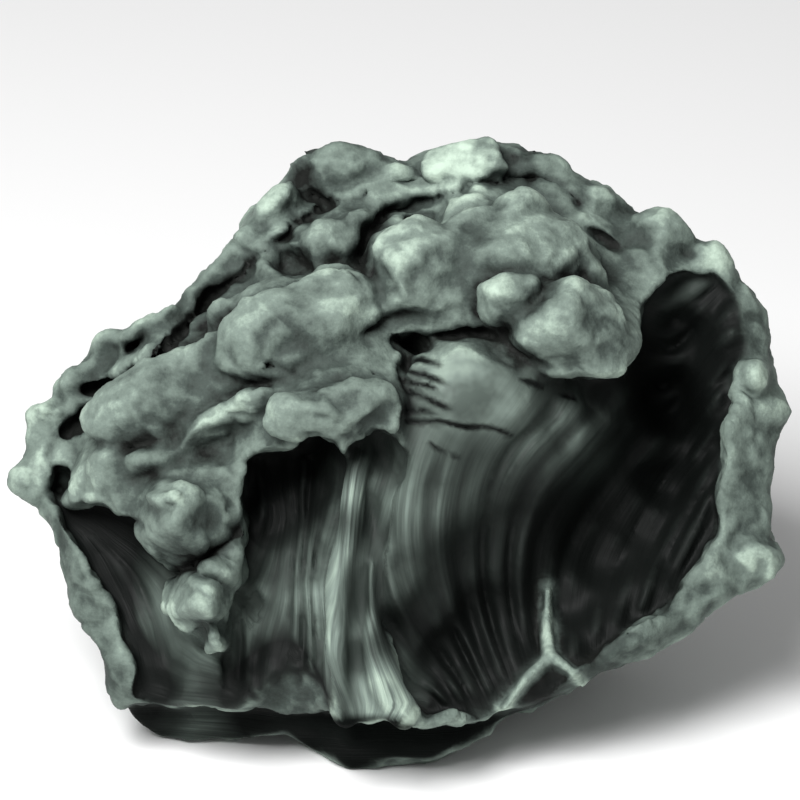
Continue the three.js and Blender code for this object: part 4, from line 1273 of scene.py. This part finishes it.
FLOOR_SIZE = 6.0
KEY_LIGHT = {"size": 0.4, "place": (-0.25, -0.38, 0.68), "target": (0, 0, 0.04)}
LENS = 300.0
SENSOR = 36.0
FRAME_WIDTH = 142.0 * MM  # how much the camera sees across, at the sketch plane
AIM = (0.0, 8.9)  # the middle of the view on the sketch plane, in mm
ORIGIN_DEPTH = 33.88  # from the stone's near side back to the sketch plane's origin, in mm


def add_floor(context, settings):
    n = Nodes("floor")
    shader = n.node("ShaderNodeBsdfPrincipled", {
        "Base Color": (*settings.floor_colour, 1), "Roughness": 0.8,
    })
    n.node("ShaderNodeOutputMaterial", {"Surface": shader.outputs["BSDF"]})
    half = FLOOR_SIZE / 2
    mesh = bpy.data.meshes.new("floor")
    corners = [(-half, -half, 0), (half, -half, 0), (half, half, 0), (-half, half, 0)]
    mesh.from_pydata(corners, [], [(0, 1, 2, 3)])
    mesh.materials.append(n.material)
    floor = bpy.data.objects.new("floor", mesh)
    context.collection.objects.link(floor)


def facing(obj, place, target):
    obj.location = place
    obj.rotation_mode = "QUATERNION"
    obj.rotation_quaternion = (Vector(target) - Vector(place)).to_track_quat("-Z", "Y")


def add_lights(context, settings):
    world = bpy.data.worlds.new("surround")
    world.use_nodes = True
    background = world.node_tree.nodes["Background"]
    background.inputs["Color"].default_value = (1, 1, 1, 1)
    background.inputs["Strength"].default_value = settings.surround
    context.scene.world = world
    light = bpy.data.lights.new("key", "AREA")
    light.size = KEY_LIGHT["size"]
    light.energy = settings.key_power
    key = bpy.data.objects.new("key", light)
    context.collection.objects.link(key)
    facing(key, KEY_LIGHT["place"], KEY_LIGHT["target"])


def add_camera(context):
    camera = bpy.data.cameras.new("camera")
    camera.lens = LENS
    camera.sensor_width = SENSOR
    obj = bpy.data.objects.new("camera", camera)
    context.collection.objects.link(obj)
    c, s = math.cos(LEAN), math.sin(LEAN)
    shift_x = (node_low[0] + node_high[0]) / 2
    shift_y = node_low[1] + ORIGIN_DEPTH * MM * SCALE
    aim = Vector((shift_x + AIM[0] * MM, shift_y + AIM[1] * MM * s, (AIM[1] * c + BASE_DROP) * MM))
    back = Vector((0, -c, s))
    distance = FRAME_WIDTH * LENS / SENSOR
    facing(obj, aim + back * distance, aim)
    context.scene.camera = obj
    context.scene.view_settings.view_transform = "Standard"


class OBSIDIAN_PT_panel(bpy.types.Panel):
    bl_label = "Obsidian"
    bl_idname = "OBSIDIAN_PT_panel"
    bl_space_type = "VIEW_3D"
    bl_region_type = "UI"
    bl_category = "Obsidian"

    def draw(self, context):
        for operator in OPERATORS:
            self.layout.operator(operator.bl_idname)


OPERATORS = [OBSIDIAN_OT_stone, OBSIDIAN_OT_stage]
SETTINGS = {
    "obsidian_stone": StoneSettings, "obsidian_crust": CrustSettings,
    "obsidian_glass": GlassSettings, "obsidian_stage": StageSettings,
}


def register():
    for group in SETTINGS.values():
        bpy.utils.register_class(group)
    for operator in OPERATORS:
        bpy.utils.register_class(operator)
    bpy.utils.register_class(OBSIDIAN_PT_panel)
    for name, group in SETTINGS.items():
        setattr(bpy.types.Scene, name, bpy.props.PointerProperty(type=group))


def unregister():
    for name in SETTINGS:
        delattr(bpy.types.Scene, name)
    bpy.utils.unregister_class(OBSIDIAN_PT_panel)
    for operator in OPERATORS:
        bpy.utils.unregister_class(operator)
    for group in SETTINGS.values():
        bpy.utils.unregister_class(group)


def main():
    register()
    bpy.ops.obsidian.stone()
    bpy.ops.obsidian.stage()


if __name__ == "__main__":
    main()
